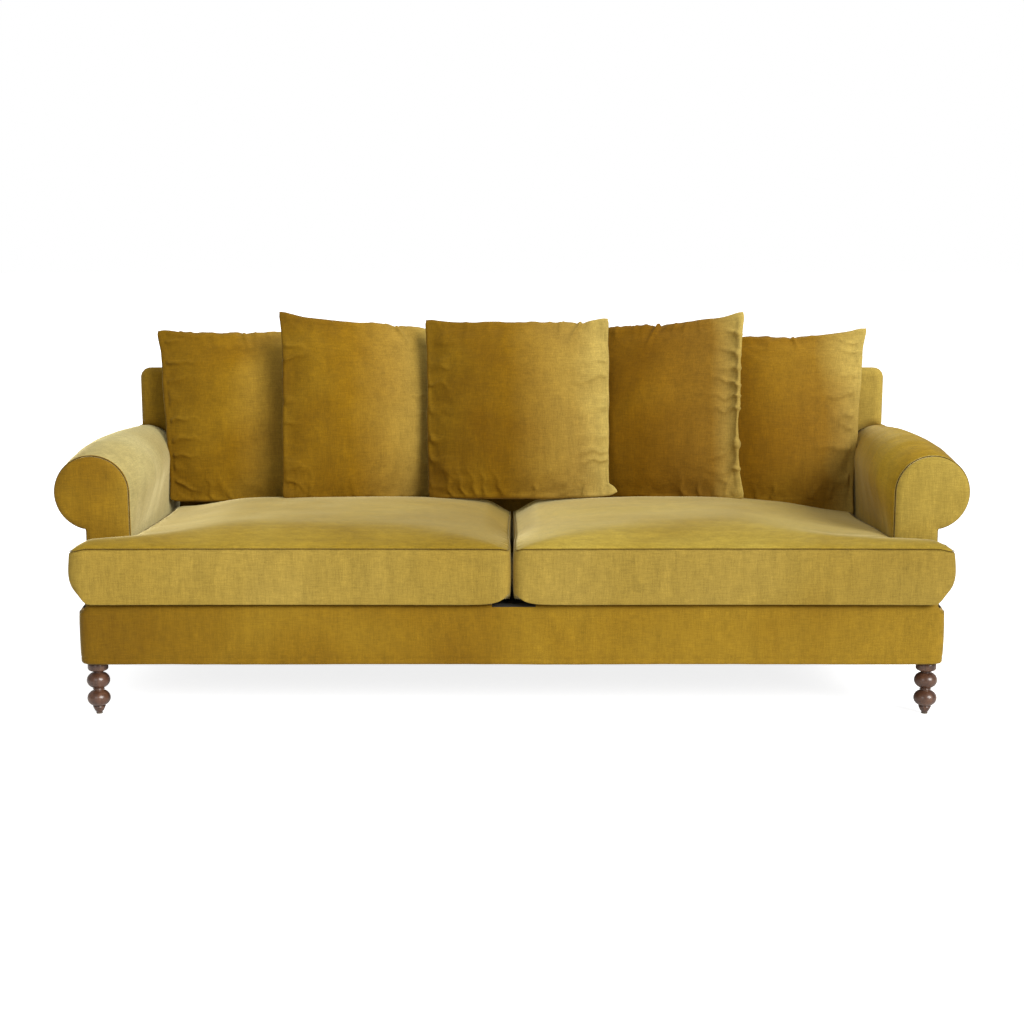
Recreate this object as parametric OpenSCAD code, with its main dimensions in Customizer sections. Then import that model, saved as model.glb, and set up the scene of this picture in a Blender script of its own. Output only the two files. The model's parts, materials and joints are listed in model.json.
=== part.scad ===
// Roll-arm sofa with two T-shaped seat cushions, five loose back pillows and turned legs.
// Millimetres, +Z up, front towards -Y, origin on the floor under the middle of the sofa.

/* [Base] */
// Width of the upholstered base, side to side
base_w = 2145; // [1900:5:2300]
// Front of the base, measured forwards from the origin
base_front = 475; // [455:5:485]
// Depth of the base, front to rear
base_d = 905; // [880:5:930]
// Height of the base's lower edge above the floor
base_z = 137; // [100:1:180]
// Height of the base, lower edge to the seat deck
base_h = 152; // [130:1:180]
// Thickness of the padded covering on the base
skin_t = 10; // [6:1:14]
// Radius of the base's upright corners
base_corner_r = 20; // [15:1:30]
// Thickness of the hardwood rails
rail_t = 36; // [32:1:42]
// Thickness of the platform pad on the seat deck
deck_t = 12; // [8:1:18]
// Thickness of the cloth under the base
dust_t = 2; // [1:0.5:3]

/* [Arms] */
// Width of an arm's stem, where it stands on the base
stem_w = 107.5; // [95:0.5:130]
// Distance from the base's front to the arm's front face
arm_setback = 110; // [90:5:140]
// Radius of the roll at the arm's front face
roll_r = 92; // [80:1:100]
// Height of the roll's centre at the front face
roll_z = 550; // [520:1:580]
// How much fatter the roll grows along its length
roll_swell = 16; // [0:1:20]
// How far the roll's centre climbs along its length
roll_rise = 15; // [0:1:20]
// Height where the inner side of the arm starts to lean in towards the roll
arm_knee_z = 440; // [420:5:470]
// How far the roll stands out past the base's side
roll_over = 77.5; // [60:0.5:90]
// Thickness of the padding on the arm's stem
arm_pad_t = 18; // [12:1:24]
// Thickness of the padding on the roll
roll_pad_t = 30; // [22:1:36]
// Thickness of the facing panel on the arm's front
facing_t = 18; // [12:1:24]
// Thickness of the boards inside the arm
board_t = 22; // [15:1:30]

/* [Back] */
// Height of the back's top above the floor
back_top_z = 815; // [760:5:900]
// Lean of the back and its pillows, in degrees
lean = 8; // [5:0.5:11]
// Thickness of the back, front to rear
back_t = 131; // [120:1:150]
// Thickness of the padding on the inside back
back_pad_t = 68; // [55:1:72]
// Width of the padding round the back's frame, at its sides and top
back_rim_w = 45; // [35:1:55]
// Thickness of the outside back panel
back_panel_t = 10; // [6:1:14]
// Radius of the back's upper corners
back_corner_r = 28; // [20:1:40]
// Radius of the back's upper long edges
back_edge_r = 20; // [12:1:26]

/* [Seat cushions] */
// Height of a seat cushion's sides
box_h = 142; // [120:1:170]
// How far a seat cushion's top crowns above its seam
crown_h = 51; // [35:1:60]
// How far the cushions stand out beyond the base's front
overhang = 24; // [15:1:35]
// How far the front wings reach beyond the base's sides
wing_over = 18; // [0:1:25]
// Radius of a seat cushion's upright corners
cushion_r = 30; // [20:1:45]
// How far the cushion's sides are drawn in between corners
side_draw = 5; // [0:1:8]
// Gap between the two seat cushions
cushion_gap = 2; // [1:0.5:5]

/* [Back pillows] */
// Width of a back pillow, corner to corner
pillow_w = 504; // [480:2:530]
// Height of a back pillow, corner to corner
pillow_h = 494; // [460:2:520]
// Thickness of a back pillow at its middle
pillow_t = 130; // [110:2:134]
// How far a pillow's edges are drawn in between its corners
pillow_draw = 8; // [4:1:20]
// How far a pillow's upper corner is pulled up into a tip
pillow_tip = 24; // [0:1:30]

/* [Legs] */
// Radius of the leg's round beads
bead_r = 28.5; // [24:0.5:34]
// Half the height of a bead
bead_half_h = 20; // [16:0.5:21]
// Radius of the leg's necks
neck_r = 13.5; // [11:0.5:16]
// Radius of the collar under the base
collar_r = 27; // [24:0.5:30]
// Radius of the leg's foot at the floor
foot_r = 8; // [7:0.5:11]
// Distance of the leg's centre from the base's side
leg_inset_x = 33.5; // [30:0.5:36]
// Distance of the leg's centre from the base's front or rear
leg_inset_y = 50; // [40:1:60]
// Height of the leg's glide
glide_h = 3; // [2:0.5:5]
// Radius of the leg's bolt
bolt_r = 4; // [3:0.5:5]
// Thickness of the leg's fixing plate
plate_t = 3; // [2:0.5:4]

/* [Springs] */
// Number of serpentine springs under the seat
spring_count = 9; // [7:1:11]
// Width of the spring's wire
wire_w = 3.6; // [3:0.2:4.4]
// Width of a serpentine spring over its bends
spring_w = 48; // [40:1:56]
// Number of bends in a spring
bend_count = 18; // [14:2:22]
// Width of the webbing on the back
web_w = 60; // [50:5:70]

/* [Hidden] */

// Colours
velvet = "#b08a2c";
velvet_light = "#c49f45";
timber = "#d8bd8c";
walnut = "#6d4930";
steel = "#9aa0a6";
cloth = "#3a352c";
webbing = "#8d7a55";

// Clearances: soft pieces, pillows on the seat, pieces that pass each other, bolts; and an overrun for cuts
soft_gap = 0.5;
rest_gap = 0.25;
slide_gap = 1;
bolt_gap = 0.1;
cut = 1;

// Base
side_x = base_w / 2;
front_y = -base_front;
rear_y = front_y + base_d;
deck_z = base_z + base_h;
rail_z = base_z + plate_t;
rail_top = deck_z - deck_t;
rail_h = rail_top - rail_z;
rail_x = side_x - skin_t;
rail_front_y = front_y + skin_t;
rail_rear_y = rear_y - skin_t;
rail_in_x = rail_x - rail_t;
rail_in_front = rail_front_y + rail_t;
rail_in_rear = rail_rear_y - rail_t;
corner_steps = 5;

// Arms: the roll's swelling and rise are shares of their sizes at places along the arm
arm_x = side_x - stem_w;
roll_reach = side_x + roll_over;
facing_y = front_y + arm_setback;
arm_front_y = facing_y + facing_t;
arm_place_share = [0, 0.07, 0.16, 0.27, 0.42, 0.58, 0.74, 0.88];
swell_share = [0, 0.38, 0.85, 1, 0.88, 0.5, 0.18, 0];
rise_share = [0, 0.27, 0.8, 1, 1, 1, 0.7, 0.4];
arc_steps = 34;
core_r = roll_r - roll_pad_t;
core_x = roll_reach - roll_r;
core_z = roll_z + roll_rise * rise_share[7] / 2;

// Back: local y runs rearwards through the back, local z up along its lean
back_y = rear_y - back_t / cos(lean);
back_len = (back_top_z - deck_z) / cos(lean);
back_open_t = back_t - back_panel_t;
cavity_top = back_len - back_rim_w;
web_t = 2;
frame_t = back_pad_t + slide_gap + web_t;
post_w = 45;
post_t = back_open_t - frame_t;
slat_w = 40;
web_count = 4;

// Seat cushions
seat_front = front_y - overhang;
seat_rear = back_y - slide_gap;
wing_x = side_x + wing_over;
wing_y = facing_y - slide_gap;
cushion_in = cushion_gap / 2;
cushion_out = arm_x - slide_gap;
cushion_z = deck_z + soft_gap;
seam_z = deck_z + box_h;
seam_round = 9;
crown_reach = 0.63 * (seat_rear - seat_front) / 2;
crown_blend = 4;
wing_line_share = 0.4;
arm_line_share = 0.3;
crown_side_share = [1, 1, 1, 0.45, 0.75, 0.45];
crown_power = 0.7;
ring_share = [0.975, 0.93, 0.85, 0.73, 0.58, 0.4, 0.2];

// Back pillows: place across the seat, yaw, roll in their own plane and depth
pillow_place_share = [-0.748, -0.412, 0.018, 0.418, 0.748];
pillow_yaw = [4, 20, 0, -20, -4];
pillow_tip_share = [0, -0.8, -0.1, 0.8, 0.3];
pillow_roll = [0.5, 0.5, 0.8, -0.5, -0.5];
// How far each pillow's top leans to one side, as a share of its height
pillow_shear_share = [-0.066, 0, 0, 0, 0.06];
pillow_depth_share = [0, 0.99, 1.26, 0.99, 0];
pillow_rest = [rest_gap, rest_gap, -2 * rest_gap, rest_gap, rest_gap];
pillow_cells = 15;
puff_power = 0.4;

// Legs
leg_x = side_x - leg_inset_x;
leg_front_y = front_y + leg_inset_y;
leg_rear_y = rear_y - leg_inset_y;
leg_places = [[-leg_x, leg_front_y], [leg_x, leg_front_y], [-leg_x, leg_rear_y], [leg_x, leg_rear_y]];
low_bead_share = 0.288;
high_bead_share = 0.606;
collar_share = 0.81;
ankle_share = 0.13;
bead_steps = 14;
plate_r = rail_x - leg_x - soft_gap;
bolt_in_leg = 30;
bolt_in_rail = 55;
block_side = 110;
block_h = 70;

// Springs
spring_t = wire_w;
spring_z = rail_top - spring_t - slide_gap;
clip_d = 12;
spring_steps = 4;
function spring_x(i) = arm_x * (2 * i + 1 - spring_count) / (spring_count + 0.5);

// Places worked out from the sizes above
bearer_h = 30;
deck_rear_y = back_y - slide_gap;
deck_x = arm_x + arm_pad_t;
deck_wing_x = rail_x - slide_gap;
rear_board_y = rail_in_rear;
rear_roll_z = roll_z + roll_rise * rise_share[7];
post_x = arm_x - back_rim_w - post_w / 2 - slide_gap;
post_top = cavity_top - post_w - slide_gap;
lower_rail_w = post_w / 2;
web_low = 90;

// Points on an arc, from angle a0 to angle a1
function arc(cx, cy, r, a0, a1, n) =
    [for (i = [0:n]) let (a = a0 + (a1 - a0) * i / n) [cx + r * cos(a), cy + r * sin(a)]];

// Outline of a rectangle with four rounded corners
function rounded(x0, y0, x1, y1, r, n) = concat(
    arc(x1 - r, y0 + r, r, -90, 0, n), arc(x1 - r, y1 - r, r, 0, 90, n),
    arc(x0 + r, y1 - r, r, 90, 180, n), arc(x0 + r, y0 + r, r, 180, 270, n));

// Value of a table of shares at a place between 0 and 1
function table(at, places, shares, i = 1) =
    at <= places[i] || i == len(places) - 1
        ? let (k = min(1, (at - places[i - 1]) / (places[i] - places[i - 1])))
          shares[i - 1] + (shares[i] - shares[i - 1]) * k
        : table(at, places, shares, i + 1);

// Triangles that join rings of points: ring i's point j is number i * n + j
function ring_faces(rings, n) = [
    for (i = [0:rings - 2], j = [0:n - 1])
        let (a = i * n + j, b = i * n + (j + 1) % n)
        each [[a, b + n, b], [a, a + n, b + n]]];

// Parts made for the right-hand side are mirrored for the left
module on_side(side) {
    if (side > 0) children();
    else mirror([1, 0, 0]) children();
}

// Places a part in the leaning frame of the back
module leaned() {
    translate([0, back_y, deck_z]) rotate([-lean, 0, 0]) children();
}

// Extrudes an outline, drawn in the X and Z directions, rearwards from y
module board_y(points, y, t) {
    translate([0, y + t, 0]) rotate([90, 0, 0]) linear_extrude(height = t) polygon(points);
}

// Frame of the base
module front_rail() {
    color(timber) translate([-rail_in_x, rail_front_y, rail_z]) cube([2 * rail_in_x, rail_t, rail_h]);
}

module rear_rail() {
    color(timber) translate([-rail_in_x, rail_in_rear, rail_z]) cube([2 * rail_in_x, rail_t, rail_h]);
}

module side_rail(side) {
    on_side(side) color(timber) difference() {
        translate([rail_in_x, rail_front_y, rail_z])
            cube([rail_t, rail_rear_y - rail_front_y, rail_h]);
        for (y = [leg_front_y, leg_rear_y])
            translate([leg_x, y, rail_z - cut])
                cylinder(h = bolt_in_rail + bolt_gap + cut, r = bolt_r + bolt_gap, $fn = 48);
    }
}

module seat_stretchers() {
    color(timber) for (place = [-1, 1])
        translate([place * arm_x / 3 - rail_t / 2, rail_in_front, rail_z])
            cube([rail_t, rail_in_rear - rail_in_front, rail_h - block_h]);
}

module corner_blocks() {
    color(timber) for (sx = [-1, 1], sy = [0, 1]) {
        corner_y = sy == 0 ? rail_in_front : rail_in_rear;
        inward = sy == 0 ? block_side : -block_side;
        translate([0, 0, rail_z]) linear_extrude(height = block_h)
            polygon([[sx * rail_in_x, corner_y], [sx * (rail_in_x - block_side), corner_y],
                     [sx * rail_in_x, corner_y + inward]]);
    }
}

// Ledgers along the side rails that carry the arms' inner faces and the deck
module arm_bearers() {
    color(timber) for (side = [-1, 1]) on_side(side)
        translate([arm_x, rail_in_front + block_side, rail_top - bearer_h])
            cube([rail_in_x - arm_x, rail_in_rear - rail_in_front - 2 * block_side, bearer_h]);
}

// Covered panels round the base, split where their seams run
module base_ring() {
    translate([0, 0, base_z]) linear_extrude(height = base_h) difference() {
        polygon(rounded(-side_x, front_y, side_x, rear_y, base_corner_r, corner_steps));
        translate([-rail_x, rail_front_y]) square([2 * rail_x, rail_rear_y - rail_front_y]);
    }
}

module base_front_panel() {
    color(velvet) intersection() {
        base_ring();
        translate([-side_x - cut, front_y - cut, base_z - cut])
            cube([base_w + 2 * cut, base_corner_r + cut, base_h + 2 * cut]);
    }
}

module base_rear_panel() {
    color(velvet) intersection() {
        base_ring();
        translate([-side_x - cut, rear_y - base_corner_r, base_z - cut])
            cube([base_w + 2 * cut, base_corner_r + cut, base_h + 2 * cut]);
    }
}

module base_side_panel(side) {
    on_side(side) color(velvet) intersection() {
        base_ring();
        translate([0, front_y + base_corner_r, base_z - cut])
            cube([side_x + cut, base_d - 2 * base_corner_r, base_h + 2 * cut]);
    }
}

// Cloth under the base, cut out round the fixing plates
module dust_cover() {
    color(cloth) difference() {
        translate([-rail_x + soft_gap, rail_front_y + soft_gap, rail_z - dust_t])
            cube([2 * (rail_x - soft_gap), rail_rear_y - rail_front_y - 2 * soft_gap, dust_t]);
        for (place = leg_places)
            translate([place[0], place[1], rail_z - dust_t - cut])
                cylinder(h = dust_t + 2 * cut, r = plate_r + soft_gap / 2, $fn = 64);
    }
}

// Platform pad that the seat cushions lie on, wider in front of the arms
module deck_pad() {
    color(cloth) translate([0, 0, rail_top]) linear_extrude(height = deck_t) polygon([
        [-deck_x, deck_rear_y], [-deck_x, facing_y - slide_gap],
        [-deck_wing_x, facing_y - slide_gap], [-deck_wing_x, rail_front_y + slide_gap],
        [deck_wing_x, rail_front_y + slide_gap], [deck_wing_x, facing_y - slide_gap],
        [deck_x, facing_y - slide_gap], [deck_x, deck_rear_y]]);
}

// Flat outline of a serpentine spring, from one end to the other along Y
function spring_path(length) =
    let (pitch = length / bend_count, r = pitch / 2, half = spring_w / 2 - r)
    [for (i = [0:bend_count - 1], k = [0:spring_steps])
        let (right = i % 2 == 0 ? 1 : -1, a = -90 + 180 * k / spring_steps)
        [right * (half + r * cos(a)), pitch * (i + 0.5) + r * sin(a)]];

function heading(points, i) =
    let (a = points[max(i - 1, 0)], b = points[min(i + 1, len(points) - 1)], d = b - a)
    [-d[1], d[0]] / norm(d);

module spring(length) {
    path = spring_path(length);
    n = len(path);
    linear_extrude(height = spring_t) polygon(concat(
        [for (i = [0:n - 1]) path[i] + heading(path, i) * wire_w / 2],
        [for (i = [n - 1:-1:0]) path[i] - heading(path, i) * wire_w / 2]));
}

module seat_springs() {
    color(steel) for (i = [0:spring_count - 1])
        translate([spring_x(i), rail_in_front + clip_d + wire_w / 2, spring_z])
            spring(rail_in_rear - rail_in_front - 2 * clip_d - wire_w);
}

module spring_clips() {
    color(steel) for (i = [0:spring_count - 1], y = [rail_in_front, rail_in_rear - clip_d])
        translate([spring_x(i) - spring_w / 2, y, spring_z]) cube([spring_w, clip_d, spring_t]);
}

// Arms. One cross-section runs from the inner foot up to a knee, over the roll, to the outer foot.
function swell_at(s) = roll_swell * table(s, arm_place_share, swell_share);
function radius_at(s) = roll_r + swell_at(s);
function height_at(s) = roll_z + roll_rise * table(s, arm_place_share, rise_share);
function over_roll(x_in, x_out, r, cx, cz, z_foot) =
    let (to_knee = [x_in - cx, arm_knee_z - cz],
         a0 = 360 + atan2(to_knee[1], to_knee[0]) - acos(r / norm(to_knee)), a1 = -acos((x_out - cx) / r))
    concat([[x_in, z_foot], [x_in, arm_knee_z]], arc(cx, cz, r, a0, a1, arc_steps), [[x_out, z_foot]]);
function arm_outline(s) =
    let (r = radius_at(s))
    over_roll(arm_x, side_x, r, roll_reach - r, height_at(s), deck_z);
function arm_hollow(gap, z_foot) =
    over_roll(arm_x + arm_pad_t + gap, side_x - arm_pad_t - gap, core_r - gap, core_x, core_z, z_foot);
function lean_y(z) = (z - deck_z) * tan(lean);

// The padding of one arm: the outer and inner cross-sections swept rearwards
module arm_pad(side) {
    inner = arm_hollow(0, deck_z);
    n = len(inner);
    places = arm_place_share;
    rings = len(places) + 1;
    run = rear_y - arm_front_y;
    points = [
        for (i = [0:rings - 1])
            let (s = i < rings - 1 ? places[i] : 1, outer = arm_outline(s),
                 tilt = i == rings - 1 ? 1 : 0)
            each concat(
                [for (p = outer) [p[0], arm_front_y + run * s + tilt * lean_y(p[1]), p[1]]],
                [for (j = [n - 1:-1:0]) let (p = inner[j])
                    [p[0], arm_front_y + run * s + tilt * lean_y(p[1]), p[1]]])];
    last = (rings - 1) * 2 * n;
    caps = [for (j = [0:n - 2])
        let (a = j, b = j + 1, c = 2 * n - 1 - j, d = 2 * n - 2 - j)
        each [[a, b, d], [a, d, c], [last + a, last + d, last + b], [last + a, last + c, last + d]]];
    on_side(side) color(velvet) polyhedron(points, concat(ring_faces(rings, 2 * n), caps));
}

module arm_facing(side) {
    on_side(side) color(velvet_light) board_y(arm_outline(0), facing_y, facing_t);
}

module arm_boards(side) {
    on_side(side) color(timber) for (y = [arm_front_y, rear_board_y])
        board_y(arm_hollow(soft_gap, rail_top), y, board_t);
}

module arm_rails(side) {
    run = rear_board_y - arm_front_y - board_t;
    on_side(side) color(timber) translate([0, arm_front_y + board_t, 0]) {
        translate([core_x - rail_t / 2, 0, core_z]) cube([rail_t, run, rail_t]);
        translate([arm_x + arm_pad_t + 2 * slide_gap, 0, rail_top])
            cube([side_x - arm_x - 2 * arm_pad_t - 3 * slide_gap, run, board_t]);
    }
}

// Back. The slab spans the full width above the arms and the seat's width between them.
module back_block(t0, t1, inset) {
    top = back_len - inset;
    intersection() {
        leaned() translate([0, t1, 0]) rotate([90, 0, 0]) linear_extrude(height = t1 - t0)
            polygon(rounded(-side_x + inset, -back_t, side_x - inset, top,
                            max(back_corner_r - inset, cut), corner_steps));
        translate([-side_x, front_y, deck_z + soft_gap])
            cube([base_w, 2 * base_d, back_top_z]);
        leaned() rotate([90, 0, 90]) linear_extrude(height = 2 * base_w, center = true)
            polygon(rounded(0, -back_t, back_t, back_len,
                            back_edge_r, corner_steps));
    }
}

// Space that the arms take out of the back
module arm_space(side) {
    gap = soft_gap;
    on_side(side) {
        translate([arm_x - gap, front_y, base_z]) cube([side_x, 2 * base_d, rear_roll_z - base_z]);
        translate([roll_reach - roll_r, front_y, rear_roll_z]) rotate([-90, 0, 0])
            cylinder(h = 2 * base_d, r = roll_r + gap, $fn = 96);
    }
}

module inside_back() {
    color(velvet) difference() {
        back_block(0, back_open_t, 0);
        arm_space(1);
        arm_space(-1);
        leaned() translate([-arm_x + back_rim_w, back_pad_t, -back_t])
            cube([2 * (arm_x - back_rim_w), back_t, cavity_top + back_t]);
    }
}

module outside_back() {
    color(velvet) difference() {
        back_block(back_open_t, back_t, 0);
        arm_space(1);
        arm_space(-1);
    }
}

module back_upright(x, w, top) {
    translate([0, frame_t, 0]) translate([x - w / 2, 0, -back_t])
        cube([w, post_t, top + back_t]);
}

// Keeps a leaning piece of the frame above the rear rail
module above_rail() {
    intersection() {
        leaned() children();
        translate([-side_x, front_y, rail_top]) cube([base_w, 2 * base_d, back_top_z]);
    }
}

module back_posts() {
    color(timber) for (side = [-1, 1]) above_rail() back_upright(side * post_x, post_w, post_top);
}

module back_top_rail() {
    color(timber) leaned() translate([-post_x - post_w / 2, frame_t, post_top])
        cube([2 * post_x + post_w, post_t, post_w]);
}

module back_lower_rail() {
    color(timber) leaned() translate([-post_x + post_w / 2, frame_t, lower_rail_w])
        cube([2 * post_x - post_w, post_t, post_w]);
}

module back_slats() {
    color(timber) leaned() for (place = [-1, 0, 1])
        translate([place * post_x / 2 - slat_w / 2, frame_t, lower_rail_w + post_w])
            cube([slat_w, post_t, post_top - lower_rail_w - post_w]);
}

module back_webbing() {
    color(webbing) leaned() for (i = [0:web_count - 1])
        translate([-post_x - post_w / 2, frame_t - web_t, web_low + i * (post_top - web_low) / web_count])
            cube([2 * post_x + post_w, web_t, web_w]);
}

// Seat cushions. The crown falls away towards the sides of the plan, but stays up beside the arm's front.
cushion_corners = [
    [cushion_in, seat_front], [wing_x, seat_front], [wing_x, wing_y],
    [cushion_out, wing_y], [cushion_out, seat_rear], [cushion_in, seat_rear]];
side_steps = [17, 3, 2, 12, 14, 15];
corner_share = [1, 1, 0.7, -0.04, 1, 1];
crown_lines = [
    [cushion_corners[0], cushion_corners[1]], [cushion_corners[1], cushion_corners[2]],
    [cushion_corners[2], between(cushion_corners[2], cushion_corners[3], wing_line_share)],
    [between(cushion_corners[3], cushion_corners[4], arm_line_share), cushion_corners[4]],
    [cushion_corners[4], cushion_corners[5]], [cushion_corners[5], cushion_corners[0]]];
middle_of_rings = [(cushion_in + cushion_out) / 2, wing_y - cushion_r];

function clamp01(v) = max(0, min(1, v));
function between(a, b, share) = a + (b - a) * share;
function to_side(p, a, b) =
    let (t = clamp01((p - a) * (b - a) / ((b - a) * (b - a)))) norm(p - a - t * (b - a));
function rise_from(d) = pow(1 - pow(1 - min(d / crown_reach, 1), 2), crown_power);
function total(v, i = 0) = i == len(v) ? 0 : v[i] + total(v, i + 1);
function from_line(p, i) =
    max(to_side(p, crown_lines[i][0], crown_lines[i][1]) * crown_side_share[i], soft_gap);
function crown_at(p) = crown_h * rise_from(pow(
    total([for (i = [0:5]) pow(from_line(p, i), -crown_blend)]), -1 / crown_blend));

// One corner of the plan, then the side that leaves it, drawn in towards the cushion
function cushion_corner(i) =
    let (p = cushion_corners[i], before = cushion_corners[(i + 5) % 6], after = cushion_corners[(i + 1) % 6],
         share = corner_share[i], r = cushion_r * abs(share),
         u = (p - before) / norm(p - before), v = (after - p) / norm(after - p),
         c = p - r * u + r * v, turn = share > 0 ? 90 : -90, start = atan2(-v[1], -v[0]))
    arc(c[0], c[1], r, start, start + turn, 4);
function cushion_side(i) =
    let (k = (i + 1) % 6, a = cushion_corners[i], b = cushion_corners[k], u = (b - a) / norm(b - a),
         p = a + u * cushion_r * abs(corner_share[i]), q = b - u * cushion_r * abs(corner_share[k]),
         n = side_steps[i], draw = side_draw * min(1, norm(b - a) / box_h / 2))
    [for (j = [1:n - 1]) let (t = j / n) p + (q - p) * t + [-u[1], u[0]] * draw * sin(180 * t)];
cushion_plan = [for (i = [0:5]) each concat(cushion_corner(i), cushion_side(i))];

// Moves every point of a closed plan inwards
function inset(plan, d) = [for (i = [0:len(plan) - 1])
    let (n = len(plan), u = plan[(i + 1) % n] - plan[(i + n - 1) % n]) plan[i] + [-u[1], u[0]] / norm(u) * d];
function at_height(plan, z) = [for (p = plan) [p[0], p[1], z]];

module seat_cushion(side) {
    n = len(cushion_plan);
    rings = 4 + len(ring_share);
    c = middle_of_rings;
    points = concat(
        at_height(inset(cushion_plan, seam_round), cushion_z),
        at_height(cushion_plan, cushion_z + seam_round),
        at_height(inset(cushion_plan, side_draw / 3), (cushion_z + seam_z) / 2),
        at_height(cushion_plan, seam_z),
        [for (s = ring_share, p = cushion_plan) let (q = c + s * (p - c)) [q[0], q[1], seam_z + crown_at(q)]],
        [[c[0], c[1], cushion_z], [c[0], c[1], seam_z + crown_at(c)]]);
    low = rings * n;
    caps = [for (j = [0:n - 1]) let (k = (j + 1) % n)
        each [[low, j, k], [low + 1, (rings - 1) * n + k, (rings - 1) * n + j]]];
    on_side(side) color(velvet_light) polyhedron(points, concat(ring_faces(rings, n), caps));
}

// Top of the seat under a point, or far below it where no cushion lies
function seat_top(x, y) =
    let (p = [max(abs(x), cushion_in), y])
    p[0] > cushion_out || y > seat_rear ? -seam_z : seam_z + crown_at(p);

// Back pillows. Each is a knife-edged pad, full at the middle and sharp at the corners.
function spread(i) = sin(90 * (2 * i / pillow_cells - 1));
function pillow_point(i, j, face, k) =
    let (a = spread(i), b = spread(j), full = pow(max(0, (1 - a * a) * (1 - b * b)), puff_power),
         tip = pillow_tip * pillow_tip_share[k])
    [a * (pillow_w / 2 - pillow_draw * (1 - b * b)), face * full * pillow_t / 2,
     b * (pillow_h / 2 - pillow_draw * (1 - a * a)) + tip * a * (1 + b) / 2];
function turned(p, k) =
    let (r = pillow_roll[k], t = pillow_yaw[k], x = p[0] + pillow_shear_share[k] * p[2],
         q = [x * cos(r) - p[2] * sin(r), p[1], x * sin(r) + p[2] * cos(r)])
    [q[0] * cos(t) - q[1] * sin(t), q[0] * sin(t) + q[1] * cos(t), q[2]];
function pillow_points(k) = concat(
    [for (j = [0:pillow_cells], i = [0:pillow_cells]) turned(pillow_point(i, j, -1, k), k)],
    [for (j = [1:pillow_cells - 1], i = [1:pillow_cells - 1]) turned(pillow_point(i, j, 1, k), k)]);
function pillow_faces() =
    let (n = pillow_cells, m = n + 1,
         back = function(i, j) i == 0 || j == 0 || i == n || j == n
             ? j * m + i : m * m + (j - 1) * (n - 1) + i - 1)
    [for (j = [0:n - 1], i = [0:n - 1])
        let (a = j * m + i, b = a + 1, c = a + m, d = c + 1,
             e = back(i, j), f = back(i + 1, j), g = back(i, j + 1), h = back(i + 1, j + 1),
             falls = (i < n / 2) == (j < n / 2))
        each falls ? [[a, d, b], [a, c, d], [e, f, h], [e, h, g]]
                   : [[a, c, b], [b, c, d], [e, f, g], [f, h, g]]];

// A pillow leans on the back, or stands in front of its neighbours, and rests on the seat
function pillow_depth(k, points) =
    max(pillow_depth_share[k] * pillow_t, max([for (p = points) p[1]]) + soft_gap);
function in_room(p, x, t, w) =
    let (q = [p[0] + x, p[1] + t, p[2] + w])
    [q[0], back_y + q[1] * cos(lean) + q[2] * sin(lean), deck_z - q[1] * sin(lean) + q[2] * cos(lean)];
function pillow_lift(points, x, t, w, rest) = w + max([for (p = points) if (p[2] < 0)
    let (q = in_room(p, x, t, w)) seat_top(q[0], q[1]) + rest - q[2]]) / cos(lean);

module pillow(k) {
    points = pillow_points(k);
    x = pillow_place_share[k] * arm_x;
    t = -pillow_depth(k, points);
    first = pillow_lift(points, x, t, pillow_h / 2 + box_h, pillow_rest[k]);
    w = pillow_lift(points, x, t, first, pillow_rest[k]);
    color(velvet) polyhedron([for (p = points) in_room(p, x, t, w)], pillow_faces());
}

// Legs, turned from one piece, with a bolt, a plate and a glide each
function bead(z) = [for (i = [0:bead_steps])
    let (a = -90 + 180 * i / bead_steps, r = bead_r * cos(a), h = bead_half_h * sin(a))
    if (r > neck_r) [r, z + h]];
module leg(place) {
    color(walnut) translate([place[0], place[1], 0]) difference() {
        rotate_extrude($fn = 96) polygon(concat(
            [[0, glide_h], [foot_r, glide_h], [neck_r, base_z * ankle_share]],
            bead(base_z * low_bead_share), bead(base_z * high_bead_share),
            [[neck_r, base_z * collar_share - neck_r / 2], [collar_r - neck_r / 4, base_z * collar_share],
             [collar_r, base_z * collar_share + neck_r / 4], [collar_r, base_z], [0, base_z]]));
        translate([0, 0, base_z - bolt_in_leg - bolt_gap])
            cylinder(h = bolt_in_leg + bolt_gap + cut, r = bolt_r + bolt_gap, $fn = 48);
    }
}

module leg_bolts() {
    color(steel) for (place = leg_places) translate([place[0], place[1], base_z - bolt_in_leg])
        cylinder(h = bolt_in_leg + plate_t + bolt_in_rail, r = bolt_r, $fn = 48);
}

module leg_plates() {
    color(steel) for (place = leg_places) translate([place[0], place[1], base_z]) difference() {
        cylinder(h = plate_t, r = plate_r, $fn = 64);
        translate([0, 0, -cut]) cylinder(h = plate_t + 2 * cut, r = bolt_r + bolt_gap, $fn = 48);
    }
}

module leg_glides() {
    color(steel) for (place = leg_places) translate([place[0], place[1], 0])
        cylinder(h = glide_h, r = foot_r, $fn = 48);
}

front_rail();
rear_rail();
side_rail(-1);  // left_side_rail
side_rail(1);  // right_side_rail
seat_stretchers();
corner_blocks();
arm_bearers();
arm_boards(-1);  // left_arm_boards
arm_boards(1);  // right_arm_boards
arm_rails(-1);  // left_arm_rails
arm_rails(1);  // right_arm_rails
back_posts();
back_top_rail();
back_lower_rail();
back_slats();
back_webbing();
seat_springs();
spring_clips();
deck_pad();
dust_cover();
base_front_panel();
base_side_panel(-1);  // base_left_panel
base_side_panel(1);  // base_right_panel
base_rear_panel();
arm_pad(-1);  // left_arm_pad
arm_pad(1);  // right_arm_pad
arm_facing(-1);  // left_arm_facing
arm_facing(1);  // right_arm_facing
inside_back();
outside_back();
seat_cushion(-1);  // left_seat_cushion
seat_cushion(1);  // right_seat_cushion
pillow(0);  // pillow_1
pillow(1);  // pillow_2
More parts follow.
